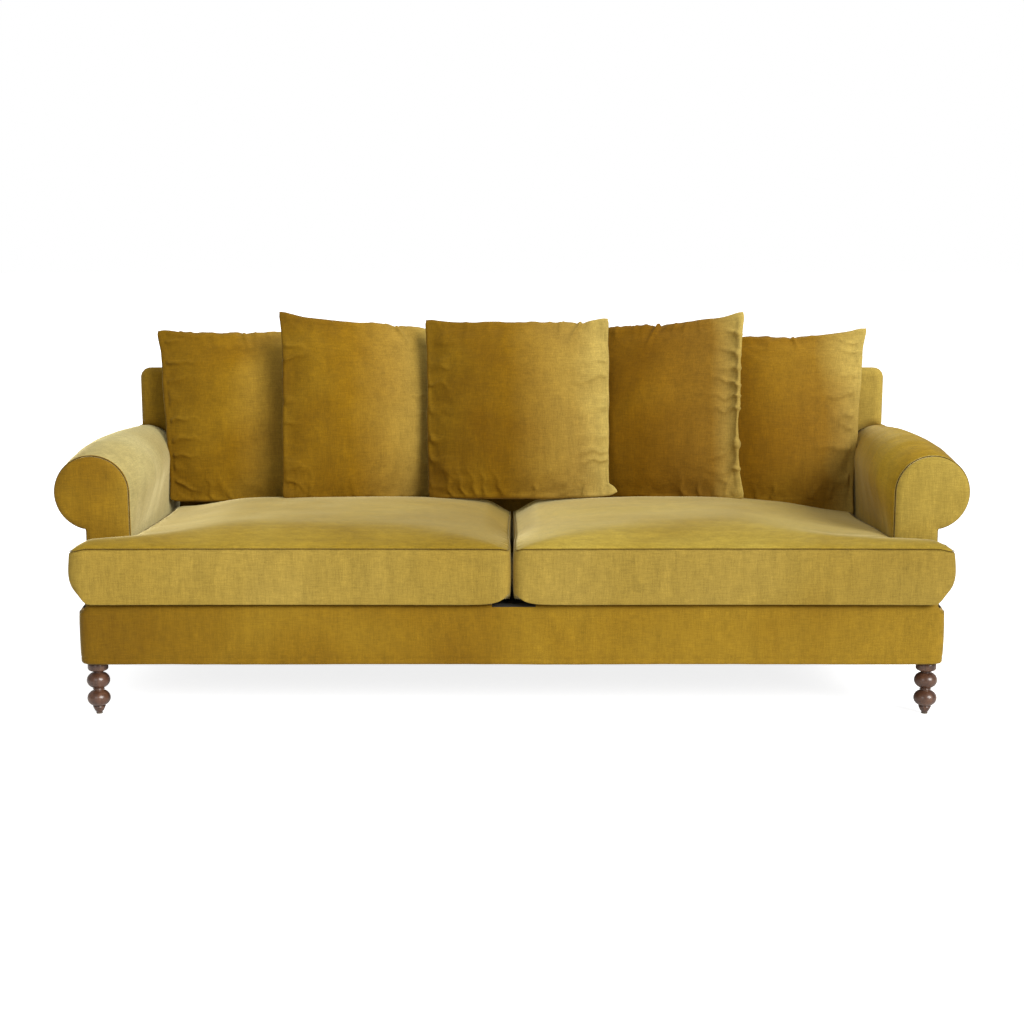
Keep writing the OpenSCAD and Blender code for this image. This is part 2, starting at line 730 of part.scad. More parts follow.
pillow(2);  // pillow_3
pillow(3);  // pillow_4
pillow(4);  // pillow_5
leg(leg_places[0]);  // front_left_leg
leg(leg_places[1]);  // front_right_leg
leg(leg_places[2]);  // rear_left_leg
leg(leg_places[3]);  // rear_right_leg
leg_bolts();
leg_plates();
leg_glides();
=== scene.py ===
"""Roll-arm sofa in ochre velvet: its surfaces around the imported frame. Metres, +Z up, front towards -Y."""
import json
import math

import bmesh
import bpy
import numpy as np
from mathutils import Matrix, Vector, noise
from mathutils.geometry import delaunay_2d_cdt


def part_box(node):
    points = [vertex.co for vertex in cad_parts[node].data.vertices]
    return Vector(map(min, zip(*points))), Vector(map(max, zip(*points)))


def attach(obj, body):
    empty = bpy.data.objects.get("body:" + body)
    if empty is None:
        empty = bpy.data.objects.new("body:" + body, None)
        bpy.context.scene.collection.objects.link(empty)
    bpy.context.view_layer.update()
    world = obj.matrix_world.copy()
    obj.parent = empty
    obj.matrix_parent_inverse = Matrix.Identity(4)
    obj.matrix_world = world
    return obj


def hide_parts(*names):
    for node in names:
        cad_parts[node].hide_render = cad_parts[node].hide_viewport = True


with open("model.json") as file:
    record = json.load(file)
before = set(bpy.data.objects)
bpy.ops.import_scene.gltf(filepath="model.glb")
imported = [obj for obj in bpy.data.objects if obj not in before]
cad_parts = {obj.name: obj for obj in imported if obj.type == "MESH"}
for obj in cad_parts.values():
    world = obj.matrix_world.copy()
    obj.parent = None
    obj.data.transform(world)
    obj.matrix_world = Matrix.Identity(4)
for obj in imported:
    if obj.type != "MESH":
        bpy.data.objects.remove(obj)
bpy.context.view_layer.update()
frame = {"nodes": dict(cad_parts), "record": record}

FLOOR_HALF = 60

# Camera
CAMERA_PLACE = (0, -4.841, 1.178)
CAMERA_DOWN = 8.57
CAMERA_LENS = 63.37

# Base and deck
BASE_LOW, BASE_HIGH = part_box("base_front_panel")
SIDE_X = BASE_HIGH.x
FRONT_Y = BASE_LOW.y
REAR_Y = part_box("base_rear_panel")[1].y
BASE_Z = BASE_LOW.z
DECK_Z = BASE_HIGH.z
BASE_CORNER_R = 0.030
# Half the width of the ledge strip given the black cloth: painted shade under the notch between the cushions
PAINTED_SHADE_LEDGE_HALF = 0.055

# Arms
FACING_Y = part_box("right_arm_facing")[0].y
ARM_FRONT_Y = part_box("right_arm_facing")[1].y
ARM_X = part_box("right_arm_facing")[0].x
ROLL_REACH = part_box("right_arm_facing")[1].x
ROLL_R = 0.092
ROLL_Z = 0.550
ROLL_SWELL = 0.016
ARM_KNEE_Z = 0.440
ROLL_RISE = 0.015
ARM_PLACES = [0, 0.07, 0.16, 0.27, 0.42, 0.58, 0.74, 0.88, 1]
SWELL_SHARES = [0, 0.38, 0.85, 1, 0.88, 0.5, 0.18, 0, 0]
RISE_SHARES = [0, 0.27, 0.8, 1, 1, 1, 0.7, 0.4, 0.4]

# Back
LEAN = math.radians(8)
BACK_T = 0.131
BACK_TOP_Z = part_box("inside_back")[1].z
BACK_Y = REAR_Y - BACK_T / math.cos(LEAN)
BACK_LEN = (BACK_TOP_Z - DECK_Z) / math.cos(LEAN)
BACK_CORNER_R = 0.028

# Seat cushions
SEAT_LOW, SEAT_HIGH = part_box("right_seat_cushion")
SEAT_FRONT = SEAT_LOW.y
SEAT_REAR = BACK_Y - 0.001
SEAT_Z = SEAT_LOW.z
SEAM_Z = DECK_Z + 0.142
CROWN_H = SEAT_HIGH.z - SEAM_Z
CROWN_PEAK = 0.051
WING_X = SEAT_HIGH.x
WING_Y = FACING_Y - 0.001
CUSHION_IN = 0.001
CUSHION_OUT = ARM_X - 0.001
CUSHION_R = 0.030
CROWN_REACH = 0.63 * (SEAT_REAR - SEAT_FRONT) / 2
CROWN_POWER = 0.7
CROWN_BLEND = 4

# Back pillows
PILLOW_W = 0.504
PILLOW_H = 0.494
PILLOW_T = 0.130
PILLOW_DRAW = 0.008
# Ears: how far the lower left, lower right, upper left and upper right corners stand out sideways, and rise
# how far up. Low and sag: how far the top edge has sunk, and how much further in its middle. Wide: how far the
# sides stand out. Slump: how far the lower right corner hangs. Seam: how far forward the right-hand seam has
# rolled. Pinches: folds across the top edge, each at a place from -1 to 1, with its slant.
PLAIN_PILLOW = {"shear": 0, "seam": 0, "wide": (0, 0), "slump": 0}
PILLOWS = {
    "pillow_1": {"yaw": 4, "roll": 0.5, "shear": -0.066, "tip": 0, "ears": (0.8, 0.5, 0.7, 0.1),
                 "rise": (0.2, 0.2, 0.4, 0), "low": 0.013, "sag": 0.010, "wide": (0.012, 0),
                 "pinches": [(-0.12, 0.3)]},
    "pillow_2": {"yaw": 20, "roll": 0.5, "tip": -0.019, "ears": (0.6, 0.5, 1.2, 0.2),
                 "rise": (0.3, 0.3, 1, 0.2), "low": 0.003, "sag": 0.005, "pinches": [(0.28, 0.5)]},
    "pillow_3": {"yaw": 0, "roll": 0.8, "tip": -0.002, "ears": (0.3, 2.3, 0.7, 0.6),
                 "rise": (0.2, -0.8, 0.8, 1), "low": 0.002, "sag": 0.006, "slump": 0.004,
                 "pinches": [(0.72, -0.6)]},
    "pillow_4": {"yaw": -20, "roll": -0.5, "tip": 0.019, "seam": 0.020, "ears": (0.4, 0.8, 0.2, 0.1),
                 "rise": (0.2, 0.4, 0.2, 1.1), "low": 0.003, "sag": 0.008, "slump": 0.002,
                 "pinches": [(0.05, -0.4)]},
    "pillow_5": {"yaw": -4, "roll": -0.5, "shear": 0.06, "tip": 0.007, "ears": (0.4, 0.8, 0.3, 1),
                 "rise": (0.2, 0.2, 0.2, 0.8), "low": 0.016, "sag": 0.013, "wide": (0, 0.012), "slump": 0.046,
                 "pinches": [(0.18, 0.5)]},
}

# Velvets: the nap's dark, middle and light tones, which change at random, then what sets each apart. The
# velvets for the boxing, the seat tops, the arms, the right arm's face and pillows 4 and 5 are lighter or
# darker copies of
# one ochre velvet: painted light and shade for how each panel is lit, with painted sheen on the left arm.
# Shade:
# painted shade, how dark the piece looks at its left. The pale tone: a painted highlight, the piece's colour at
# its right, where the light comes from, and turning: its share near the middle. Outer: the side of the sofa, -1
# or 1, whose outward and rearward faces show the base velvet's own colour in place of the arm's painted lighter
# tone.
# The seam tone: a near-black brown for thin tubes laid in the seams' grooves, painted shadow.
NAP_OF_BASE = (0.262, 0.145, 0.008, 1)
VELVETS = {
    "velvet": ((0.212, 0.108, 0.005), (0.265, 0.145, 0.008), (0.312, 0.182, 0.013),
               {"shade": 0.82, "painted_highlight": (0.335, 0.205, 0.020)}),
    "velvet_back": ((0.215, 0.112, 0.006), (0.268, 0.148, 0.009), (0.315, 0.185, 0.014),
                    {"shade": 0.86, "painted_highlight": (0.470, 0.340, 0.070)}),
    "velvet_light": ((0.329, 0.215, 0.033), (0.352, 0.238, 0.041), (0.376, 0.259, 0.050), {"sheen": 0.3}),
    "velvet_face": ((0.380, 0.262, 0.044), (0.440, 0.312, 0.058), (0.490, 0.352, 0.076), {}),
    "velvet_arm": ((0.450, 0.365, 0.137), (0.520, 0.440, 0.183), (0.572, 0.492, 0.225), {"outer": -1}),
    "velvet_arm_right": ((0.380, 0.226, 0.012), (0.455, 0.290, 0.020), (0.515, 0.343, 0.035),
                         {"sheen": 0.3, "outer": 1}),
    "velvet_top": ((0.268, 0.167, 0.012), (0.325, 0.210, 0.019), (0.372, 0.252, 0.031),
                   {"streaks": (0.10, 1.0, 1.0)}),
    "velvet_top_right": ((0.325, 0.213, 0.021), (0.388, 0.268, 0.034), (0.440, 0.318, 0.050),
                         {"streaks": (0.10, 1.0, 1.0)}),
    "pillow_velvet": ((0.220, 0.107, 0.003), (0.280, 0.147, 0.005), (0.330, 0.187, 0.010),
                      {"shade": 0.60, "painted_highlight": (0.590, 0.470, 0.140), "sheen": 0.38}),
    "pillow_velvet_right": ((0.200, 0.090, 0.002), (0.245, 0.116, 0.003), (0.283, 0.145, 0.005),
                            {"shade": 0.58, "painted_highlight": (0.620, 0.480, 0.130), "sheen": 0.12, "turning": 0.08}),
    "seam": ((0.070, 0.036, 0.002), (0.090, 0.046, 0.003), (0.110, 0.058, 0.004), {}),
}


def make_camera():
    data = bpy.data.cameras.new("camera")
    data.lens = CAMERA_LENS
    data.sensor_width = 36
    cam = bpy.data.objects.new("camera", data)
    cam.location = CAMERA_PLACE
    cam.rotation_euler = (math.radians(90 - CAMERA_DOWN), 0, 0)
    bpy.context.scene.collection.objects.link(cam)
    bpy.context.scene.camera = cam


def put(target, **values):
    """Sets a node's settings and inputs by name. An input takes a value, or a link from another node."""
    for name, value in values.items():
        if hasattr(target, name):
            setattr(target, name, value)
            continue
        socket = target.inputs[name.replace("_", " ")]
        if isinstance(value, bpy.types.NodeSocket):
            target.id_data.links.new(value, socket)
        else:
            socket.default_value = value
    return target


def node(tree, kind, **values):
    return put(tree.nodes.new(kind), **values)


def new_material(name):
    material = bpy.data.materials.new(name)
    material.use_nodes = True
    tree = material.node_tree
    coords = node(tree, "ShaderNodeTexCoord")
    return material, tree, tree.nodes["Principled BSDF"], coords.outputs["Object"]


def scaled(tree, coords, scale):
    return node(tree, "ShaderNodeMapping", Vector=coords, Scale=scale).outputs["Vector"]


def noise_of(tree, vector, scale, detail=3.0, rough=0.5, distort=0.0):
    return node(tree, "ShaderNodeTexNoise", Vector=vector, Scale=scale, Detail=detail, Roughness=rough,
                Distortion=distort).outputs["Fac"]


def ramp_of(tree, value, stops):
    """A colour ramp through stops, each a place with its colour or its grey."""
    made = node(tree, "ShaderNodeValToRGB", Fac=value)
    ramp = made.color_ramp
    stops = [(place, (*tone, 1) if isinstance(tone, tuple) else (tone, tone, tone, 1)) for place, tone in stops]
    ramp.elements[0].position, ramp.elements[0].color = stops[0]
    ramp.elements[1].position, ramp.elements[1].color = stops[-1]
    for place, colour in stops[1:-1]:
        ramp.elements.new(place).color = colour
    return made.outputs["Color"]


def mixed(tree, a, b, factor, blend="MIX"):
    made = node(tree, "ShaderNodeMix", data_type="RGBA", blend_type=blend)
    for socket, value in ((made.inputs[0], factor), (made.inputs[6], a), (made.inputs[7], b)):
        if isinstance(value, bpy.types.NodeSocket):
            tree.links.new(value, socket)
        else:
            socket.default_value = value
    return made.outputs[2]


def bumps(tree, shader, heights):
    """Chains bump nodes: each height is (value, strength, distance)."""
    normal = None
    for value, strength, distance in heights:
        bump = node(tree, "ShaderNodeBump", Strength=strength, Distance=distance, Height=value)
        if normal is not None:
            put(bump, Normal=normal)
        normal = bump.outputs["Normal"]
    put(shader, Normal=normal)


def velvet_material(name, dark, mid, light, shade=1.0, painted_highlight=None, sheen=0.8, streaks=(1.0, 1.0, 0.16),
                    outer=0, turning=0.28):
    """Short velvet: brushed tones at random, faint threads both ways, a deep speckled pile, a pale sheen from
    the shader.
    Painted light across the piece: painted shade at its left, a painted highlight towards its right, and on the
    arms a lighter painted tone kept off faces turned outward or rearward.
    """
    material, tree, shader, coords = new_material(name)
    brushed = noise_of(tree, coords, 2.6, 2.0, 0.5, 0.4)
    mottled = noise_of(tree, coords, 34.0, 4.0, 0.65, 0.3)
    across = noise_of(tree, scaled(tree, coords, (0.10, 0.10, 1.0)), 380.0, 3.0, 0.6)
    along = noise_of(tree, scaled(tree, coords, (1.0, 1.0, 0.10)), 360.0, 3.0, 0.6)
    pile = noise_of(tree, coords, 800.0, 3.0, 0.7)
    streak = noise_of(tree, scaled(tree, coords, streaks), 42.0, 3.0, 0.6, 0.25)
    colour = ramp_of(tree, brushed, [(0.34, dark), (0.50, mid), (0.68, light)])
    # Place: how far across the piece from left to right, made uneven by the brushed tones. It paints light:
    # shade at the piece's left and a highlight (the pale tone) at its right, for the light from the right.
    whole = node(tree, "ShaderNodeTexCoord").outputs["Generated"]
    split = node(tree, "ShaderNodeSeparateXYZ", Vector=whole)
    place = mixed(tree, split.outputs["X"], brushed, 0.25)
    if painted_highlight is not None:
        share = ramp_of(tree, place, [(0.42, 0.0), (0.70, turning), (0.96, 1.0)])
        colour = mixed(tree, colour, (*painted_highlight, 1), share)
    # Painted light on the arms: faces turned to the outer side or to the rear take the base velvet's own
    # colour, the rest keep the arm's painted lighter tone.
    if outer:
        normal = node(tree, "ShaderNodeNewGeometry").outputs["Normal"]
        facing = node(tree, "ShaderNodeSeparateXYZ", Vector=normal)
        away = node(tree, "ShaderNodeMath", operation="MULTIPLY")
        away.inputs[1].default_value = outer
        tree.links.new(facing.outputs["X"], away.inputs[0])
        most = node(tree, "ShaderNodeMath", operation="MAXIMUM")
        tree.links.new(away.outputs[0], most.inputs[0])
        tree.links.new(facing.outputs["Y"], most.inputs[1])
        share = ramp_of(tree, most.outputs[0], [(0.12, 0.0), (0.60, 1.0)])
        colour = mixed(tree, colour, NAP_OF_BASE, share)
    # Tones that change at random, then the last one, by place: painted shade towards the piece's left.
    tones = [(mottled, 0.34, 0.94, 0.66, 1.05), (across, 0.34, 0.89, 0.66, 1.08),
             (along, 0.34, 0.89, 0.66, 1.08),
             (streak, 0.32, 0.92, 0.68, 1.07), (pile, 0.34, 0.80, 0.66, 1.15), (place, 0.05, shade, 0.55, 1.0)]
    for value, start, low, end, high in tones:
        tone = ramp_of(tree, value, [(start, low), (end, high)])
        colour = mixed(tree, colour, tone, 1.0, "MULTIPLY")
    rough = ramp_of(tree, mottled, [(0.2, 0.78), (0.8, 0.95)])
    put(shader, Base_Color=colour, Roughness=rough, Specular_IOR_Level=0.12, Sheen_Weight=sheen,
        Sheen_Roughness=0.32, Sheen_Tint=(1.0, 0.89, 0.48, 1))
    bumps(tree, shader, [(mottled, 0.14, 0.002), (across, 0.12, 0.0006), (along, 0.10, 0.0006),
                         (pile, 0.45, 0.0005)])
    return material


def wood_material(name, dark, mid, light, coat, rough):
    """Straight-grained wood: long fibres along the piece, wavy rings across it, and pores."""
    material, tree, shader, coords = new_material(name)
    fibres = noise_of(tree, scaled(tree, coords, (1.0, 1.0, 0.07)), 210.0, 4.0, 0.65, 0.2)
    drift = noise_of(tree, scaled(tree, coords, (1.0, 1.0, 0.25)), 16.0, 3.0, 0.55, 1.4)
    pores = noise_of(tree, scaled(tree, coords, (1.0, 1.0, 0.1)), 620.0, 2.0, 0.7)
    colour = ramp_of(tree, drift, [(0.32, dark), (0.5, mid), (0.7, light)])
    fibre = ramp_of(tree, fibres, [(0.35, (0.72, 0.70, 0.68)), (0.66, 1.12)])
    colour = mixed(tree, colour, fibre, 1.0, "MULTIPLY")
    shade = ramp_of(tree, fibres, [(0.3, rough + 0.12), (0.7, rough - 0.06)])
    put(shader, Base_Color=colour, Roughness=shade, Coat_Weight=coat, Coat_Roughness=0.16)
    bumps(tree, shader, [(fibres, 0.12, 0.0006), (pores, 0.15, 0.0003)])
    return material


def steel_material():
    material, tree, shader, coords = new_material("steel")
    scratches = noise_of(tree, scaled(tree, coords, (1.0, 0.08, 1.0)), 300.0, 3.0, 0.6)
    colour = ramp_of(tree, scratches, [(0.3, (0.36, 0.37, 0.38)), (0.7, (0.58, 0.59, 0.61))])
    rough = ramp_of(tree, scratches, [(0.2, 0.28), (0.8, 0.45)])
    put(shader, Base_Color=colour, Metallic=1.0, Roughness=rough)
    bumps(tree, shader, [(scratches, 0.08, 0.0003)])
    return material


def woven_material(name, dark, light, pitch, rough=0.85):
    """Plain weave: two crossing sets of waves, with worn and dusty patches."""
    material, tree, shader, coords = new_material(name)
    threads = []
    for direction in ("X", "Y"):
        wave = node(tree, "ShaderNodeTexWave", bands_direction=direction, Vector=coords,
                    Scale=1.0 / pitch / 6.283, Distortion=0.6)
        threads.append(wave.outputs["Fac"])
    weave = mixed(tree, threads[0], threads[1], 1.0, "MULTIPLY")
    dust = noise_of(tree, coords, 9.0, 4.0, 0.6)
    colour = mixed(tree, (*dark, 1), (*light, 1), weave)
    worn = ramp_of(tree, dust, [(0.3, 0.8), (0.7, 1.15)])
    put(shader, Base_Color=mixed(tree, colour, worn, 1.0, "MULTIPLY"), Roughness=rough)
    bumps(tree, shader, [(weave, 0.4, 0.0006)])
    return material


def make_materials():
    velvets = {name: velvet_material(name, *tones, **apart) for name, (*tones, apart) in VELVETS.items()}
    return {
        **velvets,
        "leg_wood": wood_material(
            "leg_wood", (0.060, 0.024, 0.012), (0.120, 0.052, 0.027), (0.190, 0.092, 0.050), 0.6, 0.34),
        "frame_wood": wood_material(
            "frame_wood", (0.40, 0.25, 0.12), (0.52, 0.36, 0.19), (0.62, 0.46, 0.27), 0.0, 0.62),
        "steel": steel_material(),
        "black_cloth": woven_material("black_cloth", (0.007, 0.006, 0.005), (0.024, 0.022, 0.019), 0.0016),
        "webbing": woven_material("webbing", (0.16, 0.11, 0.06), (0.36, 0.28, 0.16), 0.004),
        "glide": woven_material("glide", (0.20, 0.17, 0.13), (0.24, 0.20, 0.16), 0.0008, 0.5),
    }


def mesh_object(name, points, faces, material, smooth=True):
    mesh = bpy.data.meshes.new(name)
    mesh.from_pydata([tuple(p) for p in points], [], faces)
    mesh.validate()
    made = bpy.data.objects.new(name, mesh)
    bpy.context.scene.collection.objects.link(made)
    mesh.materials.append(material)
    for polygon in mesh.polygons:
        polygon.use_smooth = smooth
    return made


def loft(rings, cap_start=False, cap_end=False):
    """Joins closed rings of points, each an n by 3 array, into one surface. Returns its points and faces."""
    rings = np.asarray(rings, float)
    count, n = rings.shape[:2]
    faces = []
    for i in range(count - 1):
        for j in range(n):
            k = (j + 1) % n
            faces.append((i * n + j, i * n + k, (i + 1) * n + k, (i + 1) * n + j))
    if cap_start:
        faces.append(tuple(range(n - 1, -1, -1)))
    if cap_end:
        faces.append(tuple((count - 1) * n + j for j in range(n)))
    return rings.reshape(-1, 3), faces


def outward(obj, weld=False):
    """Turns every face of a closed mesh outwards, after welding the edges of its parts where asked."""
    data = bmesh.new()
    data.from_mesh(obj.data)
    if weld:
        bmesh.ops.remove_doubles(data, verts=data.verts, dist=1e-5)
    bmesh.ops.recalc_face_normals(data, faces=data.faces)
    data.to_mesh(obj.data)
    data.free()


def get_points(obj, kind="co"):
    values = np.empty(len(obj.data.vertices) * 3)
    obj.data.vertices.foreach_get(kind, values)
    return values.reshape(-1, 3)


def set_points(obj, points):
    obj.data.vertices.foreach_set("co", np.asarray(points, float).ravel())
    obj.data.update()


def get_normals(obj):
    return get_points(obj, "normal")


def field(points, scale, seed):
    """Smooth noise from -1 to 1 at each point."""
    offset = Vector((seed * 7.13, seed * 3.71, seed * 5.29))
    return np.array([noise.noise(Vector(p) * scale + offset) for p in points])


def plan_field(points, scale, seed):
    """Smooth noise at 2-D points."""
    return field(np.c_[points, points[:, 0]], scale, seed)


def ruffle(obj, layers, seed):
    """Moves the surface along its normals by layers of smooth noise, each (size in metres, height)."""
    points, normals = get_points(obj), get_normals(obj)
    shift = sum(height * field(points, 1 / size, seed + i) for i, (size, height) in enumerate(layers))
    set_points(obj, points + normals * shift[:, None])


def finish_piece(obj, body, slot, *nodes, fill=None):
    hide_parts(*nodes)
    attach(obj, body)


def arc(cx, cy, r, a0, a1, n):
    a = np.radians(np.linspace(a0, a1, n + 1))
    return np.stack([cx + r * np.cos(a), cy + r * np.sin(a)], 1)


def line(p, q, n):
    """Points from p towards q, without q."""
    t = np.arange(n)[:, None] / n
    return np.asarray(p) + (np.asarray(q) - np.asarray(p)) * t


def plan_inset(plan, d):
    u = np.roll(plan, -1, 0) - np.roll(plan, 1, 0)
    normal = np.stack([-u[:, 1], u[:, 0]], 1)
    return plan + normal / np.linalg.norm(normal, axis=1)[:, None] * d


def distance_to(points, outline):
    """Distance of each 2-D point to a closed outline."""
    a, b = outline, np.roll(outline, -1, 0)
    best = np.full(len(points), 9.0)
    for p, q in zip(a, b):
        d = q - p
        t = np.clip(((points - p) @ d) / max(d @ d, 1e-12), 0, 1)
        best = np.minimum(best, np.linalg.norm(points - p - t[:, None] * d, axis=1))
    return best


def inside_of(points, outline):
    x, y = points[:, 0], points[:, 1]
    odd = np.zeros(len(points), bool)
    for p, q in zip(outline, np.roll(outline, -1, 0)):
        if p[1] != q[1]:
            crossing = (p[1] > y) != (q[1] > y)
            odd ^= crossing & (x < (q[0] - p[0]) * (y - p[1]) / (q[1] - p[1]) + p[0])
    return odd


def filled(outline, step):
    """Fills a 2-D outline with near-even triangles. Returns points, outline first, and faces."""
    low, high = outline.min(0), outline.max(0)
    xs, ys = np.arange(low[0], high[0], step), np.arange(low[1], high[1], step * 0.87)
    grid = np.array([(x + step / 2 * (j % 2), y) for j, y in enumerate(ys) for x in xs])
    grid = grid[inside_of(grid, outline)]
    grid = grid[distance_to(grid, outline) > step * 0.6]
    points = np.concatenate([outline, grid])
    n = len(outline)
    edges = [(i, (i + 1) % n) for i in range(n)]
    made = delaunay_2d_cdt([Vector(p) for p in points], edges, [], 1, 1e-7)
    return np.array([tuple(p) for p in made[0]]), [tuple(f) for f in made[2]]


def even(outline, step):
    """The same closed outline with points at an even spacing."""
    closed = np.concatenate([outline, outline[:1]])
    run = np.concatenate([[0], np.cumsum(np.linalg.norm(np.diff(closed, axis=0), axis=1))])
    count = max(8, int(round(run[-1] / step)))
    at = np.arange(count) / count * run[-1]
    return np.stack([np.interp(at, run, closed[:, k]) for k in range(closed.shape[1])], 1)


def tube(name, path, radius, material, sides=8):
    """A round tube along a path of 3-D points: a welt, or a thin dark line laid in a seam's groove as painted
    shadow.
    """
    path = np.asarray(path, float)
    heading = np.concatenate([path[1:], path[-1:]]) - np.concatenate([path[:1], path[:-1]])
    heading /= np.linalg.norm(heading, axis=1)[:, None]
    rings = []
    side = Vector((0.31, 0.17, 0.93)).cross(Vector(heading[0])).normalized()
    for p, h in zip(path, heading):
        h = Vector(h)
        side = (side - h * side.dot(h)).normalized()
        up = h.cross(side)
        turn = [2 * math.pi * k / sides for k in range(sides)]
        rings.append([Vector(p) + side * radius * math.cos(a) + up * radius * math.sin(a) for a in turn])
    points, faces = loft(np.array([[tuple(q) for q in ring] for ring in rings]), True, True)
    return mesh_object(name, points, faces, material)


def joined(name, parts):
    """One object from several, in the order given, which keeps their materials."""
    data = bmesh.new()
    used = []
    for part in parts:
        used += [material for material in part.data.materials if material not in used]
        places = [used.index(material) for material in part.data.materials]
        first = len(data.faces)
        data.from_mesh(part.data)
        data.faces.ensure_lookup_table()
        for face in data.faces[first:]:
            face.material_index = places[face.material_index]
            face.smooth = True
    mesh = bpy.data.meshes.new(name)
    data.to_mesh(mesh)
    data.free()
    for part in parts:
        bpy.data.objects.remove(part)
    made = bpy.data.objects.new(name, mesh)
    for material in used:
        mesh.materials.append(material)
    bpy.context.scene.collection.objects.link(made)
    return made


def smooth_step(x):
    x = np.clip(x, 0, 1)
    return x * x * (3 - 2 * x)


def level(plan, z):
    """A 2-D outline at a height z."""
    return np.column_stack([plan, np.full(len(plan), z)])


def rolled_edge(away, edge):
    """How far a rounded edge falls back at a distance from the outline."""
    return edge - np.sqrt(np.maximum(edge ** 2 - (edge - np.minimum(away, edge)) ** 2, 0))


# Base: one cover round four sides, with a turned hem below and a soft edge above
def base_cover(materials):
    r = BASE_CORNER_R
    corners = [(SIDE_X, FRONT_Y, -90), (SIDE_X, REAR_Y, 0), (-SIDE_X, REAR_Y, 90), (-SIDE_X, FRONT_Y, 180)]
    plan = []
    for x, y, start in corners:
        cx, cy = x - math.copysign(r, x), y - math.copysign(r, y)
        plan.append(arc(cx, cy, r, start, start + 90, 6))
    plan = even(np.concatenate(plan), 0.012)
    on_side = smooth_step((np.abs(plan[:, 0]) - (SIDE_X - 0.03)) / 0.025)
    at_arm = smooth_step((plan[:, 1] - (FACING_Y - 0.065)) / 0.06)
    top_r = 0.010 + on_side * (0.016 - 0.021 * at_arm)
    normal_in = plan_inset(plan, 1.0) - plan
    rows = [(0.030, BASE_Z + 0.004), (0.006, BASE_Z + 0.0015), (0.0015, BASE_Z + 0.0004), (0.0, BASE_Z + 0.004),
            (0.0002, BASE_Z + 0.013), (0.0012, BASE_Z + 0.0155), (0.0002, BASE_Z + 0.018)]
    rows += [(0.0, z) for z in np.linspace(BASE_Z + 0.026, DECK_Z - 0.022, 10)]
    rings = []
    for inset, z in rows:
        bulge = 0.0035 * np.abs(normal_in[:, 0]) * math.sin(math.pi * (z - BASE_Z) / (DECK_Z - BASE_Z)) ** 0.5
        rings.append(level(plan + normal_in * (inset - bulge)[:, None], z))
    for a in np.radians(np.linspace(0, 90, 7)):
        inset, z = top_r * (1 - math.cos(a)), DECK_Z - 0.0015 - top_r * (1 - math.sin(a))
        rings.append(np.column_stack([plan + normal_in * inset[:, None], z]))
    for inset, z in ((0.0275, DECK_Z - 0.0015), (0.028, DECK_Z - 0.012)):
        rings.append(level(plan + normal_in * inset, z))
    points, faces = loft(rings)
    # The base velvet paints shade at its left and a highlight at its right.
    cover = mesh_object("base_cover", points, faces, materials["velvet"])
    outward(cover)
    ruffle(cover, [(0.30, 0.0012), (0.07, 0.0005)], 3)
    # Painted shade: the middle of the ledge, under the notch between the cushions, takes the black cloth, so
    # that the notch looks dark.
    cover.data.materials.append(materials["black_cloth"])
    for polygon in cover.data.polygons:
        x, y, z = polygon.center
        if z > DECK_Z - 0.0105 and abs(x) < PAINTED_SHADE_LEDGE_HALF and y < 0 and polygon.normal.z > 0.55:
            polygon.material_index = 1
    finish_piece(cover, "root", "velvet", "base_front_panel", "base_left_panel", "base_right_panel",
                 "base_rear_panel")


def slab(name, node_name, step, levels, material, fill=None):
    """A thin slab over a node's plan. Levels gives the heights of its top, bottom and the rims of its side."""
    low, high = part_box(node_name)
    outline = even(np.array([(low.x, low.y), (high.x, low.y), (high.x, high.y), (low.x, high.y)]), 0.02)
    points, faces = filled(outline, step)
    top, bottom, rims = levels(low.z, high.z, points, distance_to(points, outline))
    parts = [mesh_object("top", np.c_[points, top], faces, material),
             mesh_object("side", *loft([level(outline, z) for z in rims]), material),
             mesh_object("bottom", np.c_[points, bottom], faces, material)]
    made = joined(name, parts)
    outward(made, weld=True)
    finish_piece(made, "root", "black_cloth", node_name, fill=fill)


def platform_levels(low, high, points, away):
    """The platform is slightly domed, and its edge is tucked behind the front rail."""
    top = high - 0.006 + 0.0055 * smooth_step(away / 0.06) + 0.0006 * plan_field(points, 9, 5)
    return top, np.full(len(points), low + 0.001), (high - 0.006, low + 0.001)


def lining_levels(low, high, points, away):
    """The lining sags a little between its staples."""
    sag = 0.004 * smooth_step(away / 0.25) + 0.0008 * smooth_step(away / 0.02) * (1 + plan_field(points, 14, 8))
    return high - sag, low - sag, (low, high)


# Arms
def arm_section(s):
    """The arm's outline at a share of its length, from the inner foot over the roll to the outer foot."""
    r = ROLL_R + ROLL_SWELL * np.interp(s, ARM_PLACES, SWELL_SHARES)
    cx, cz = ROLL_REACH - r, ROLL_Z + ROLL_RISE * np.interp(s, ARM_PLACES, RISE_SHARES)
    knee = np.array([ARM_X, ARM_KNEE_Z])
    away = math.hypot(knee[0] - cx, knee[1] - cz)
    a0 = math.degrees(math.atan2(knee[1] - cz, knee[0] - cx) - math.acos(r / away)) % 360
    a1 = -math.degrees(math.acos((SIDE_X - cx) / r))
    roll = arc(cx, cz, r, a0, a1, 52)
    inner = line((ARM_X, DECK_Z), knee, 14)
    lean_in = line(knee, roll[0], 6)
    outer = line(roll[-1], (SIDE_X, DECK_Z), 14)
    return np.concatenate([inner, lean_in, roll, outer[1:], [(SIDE_X, DECK_Z)]])


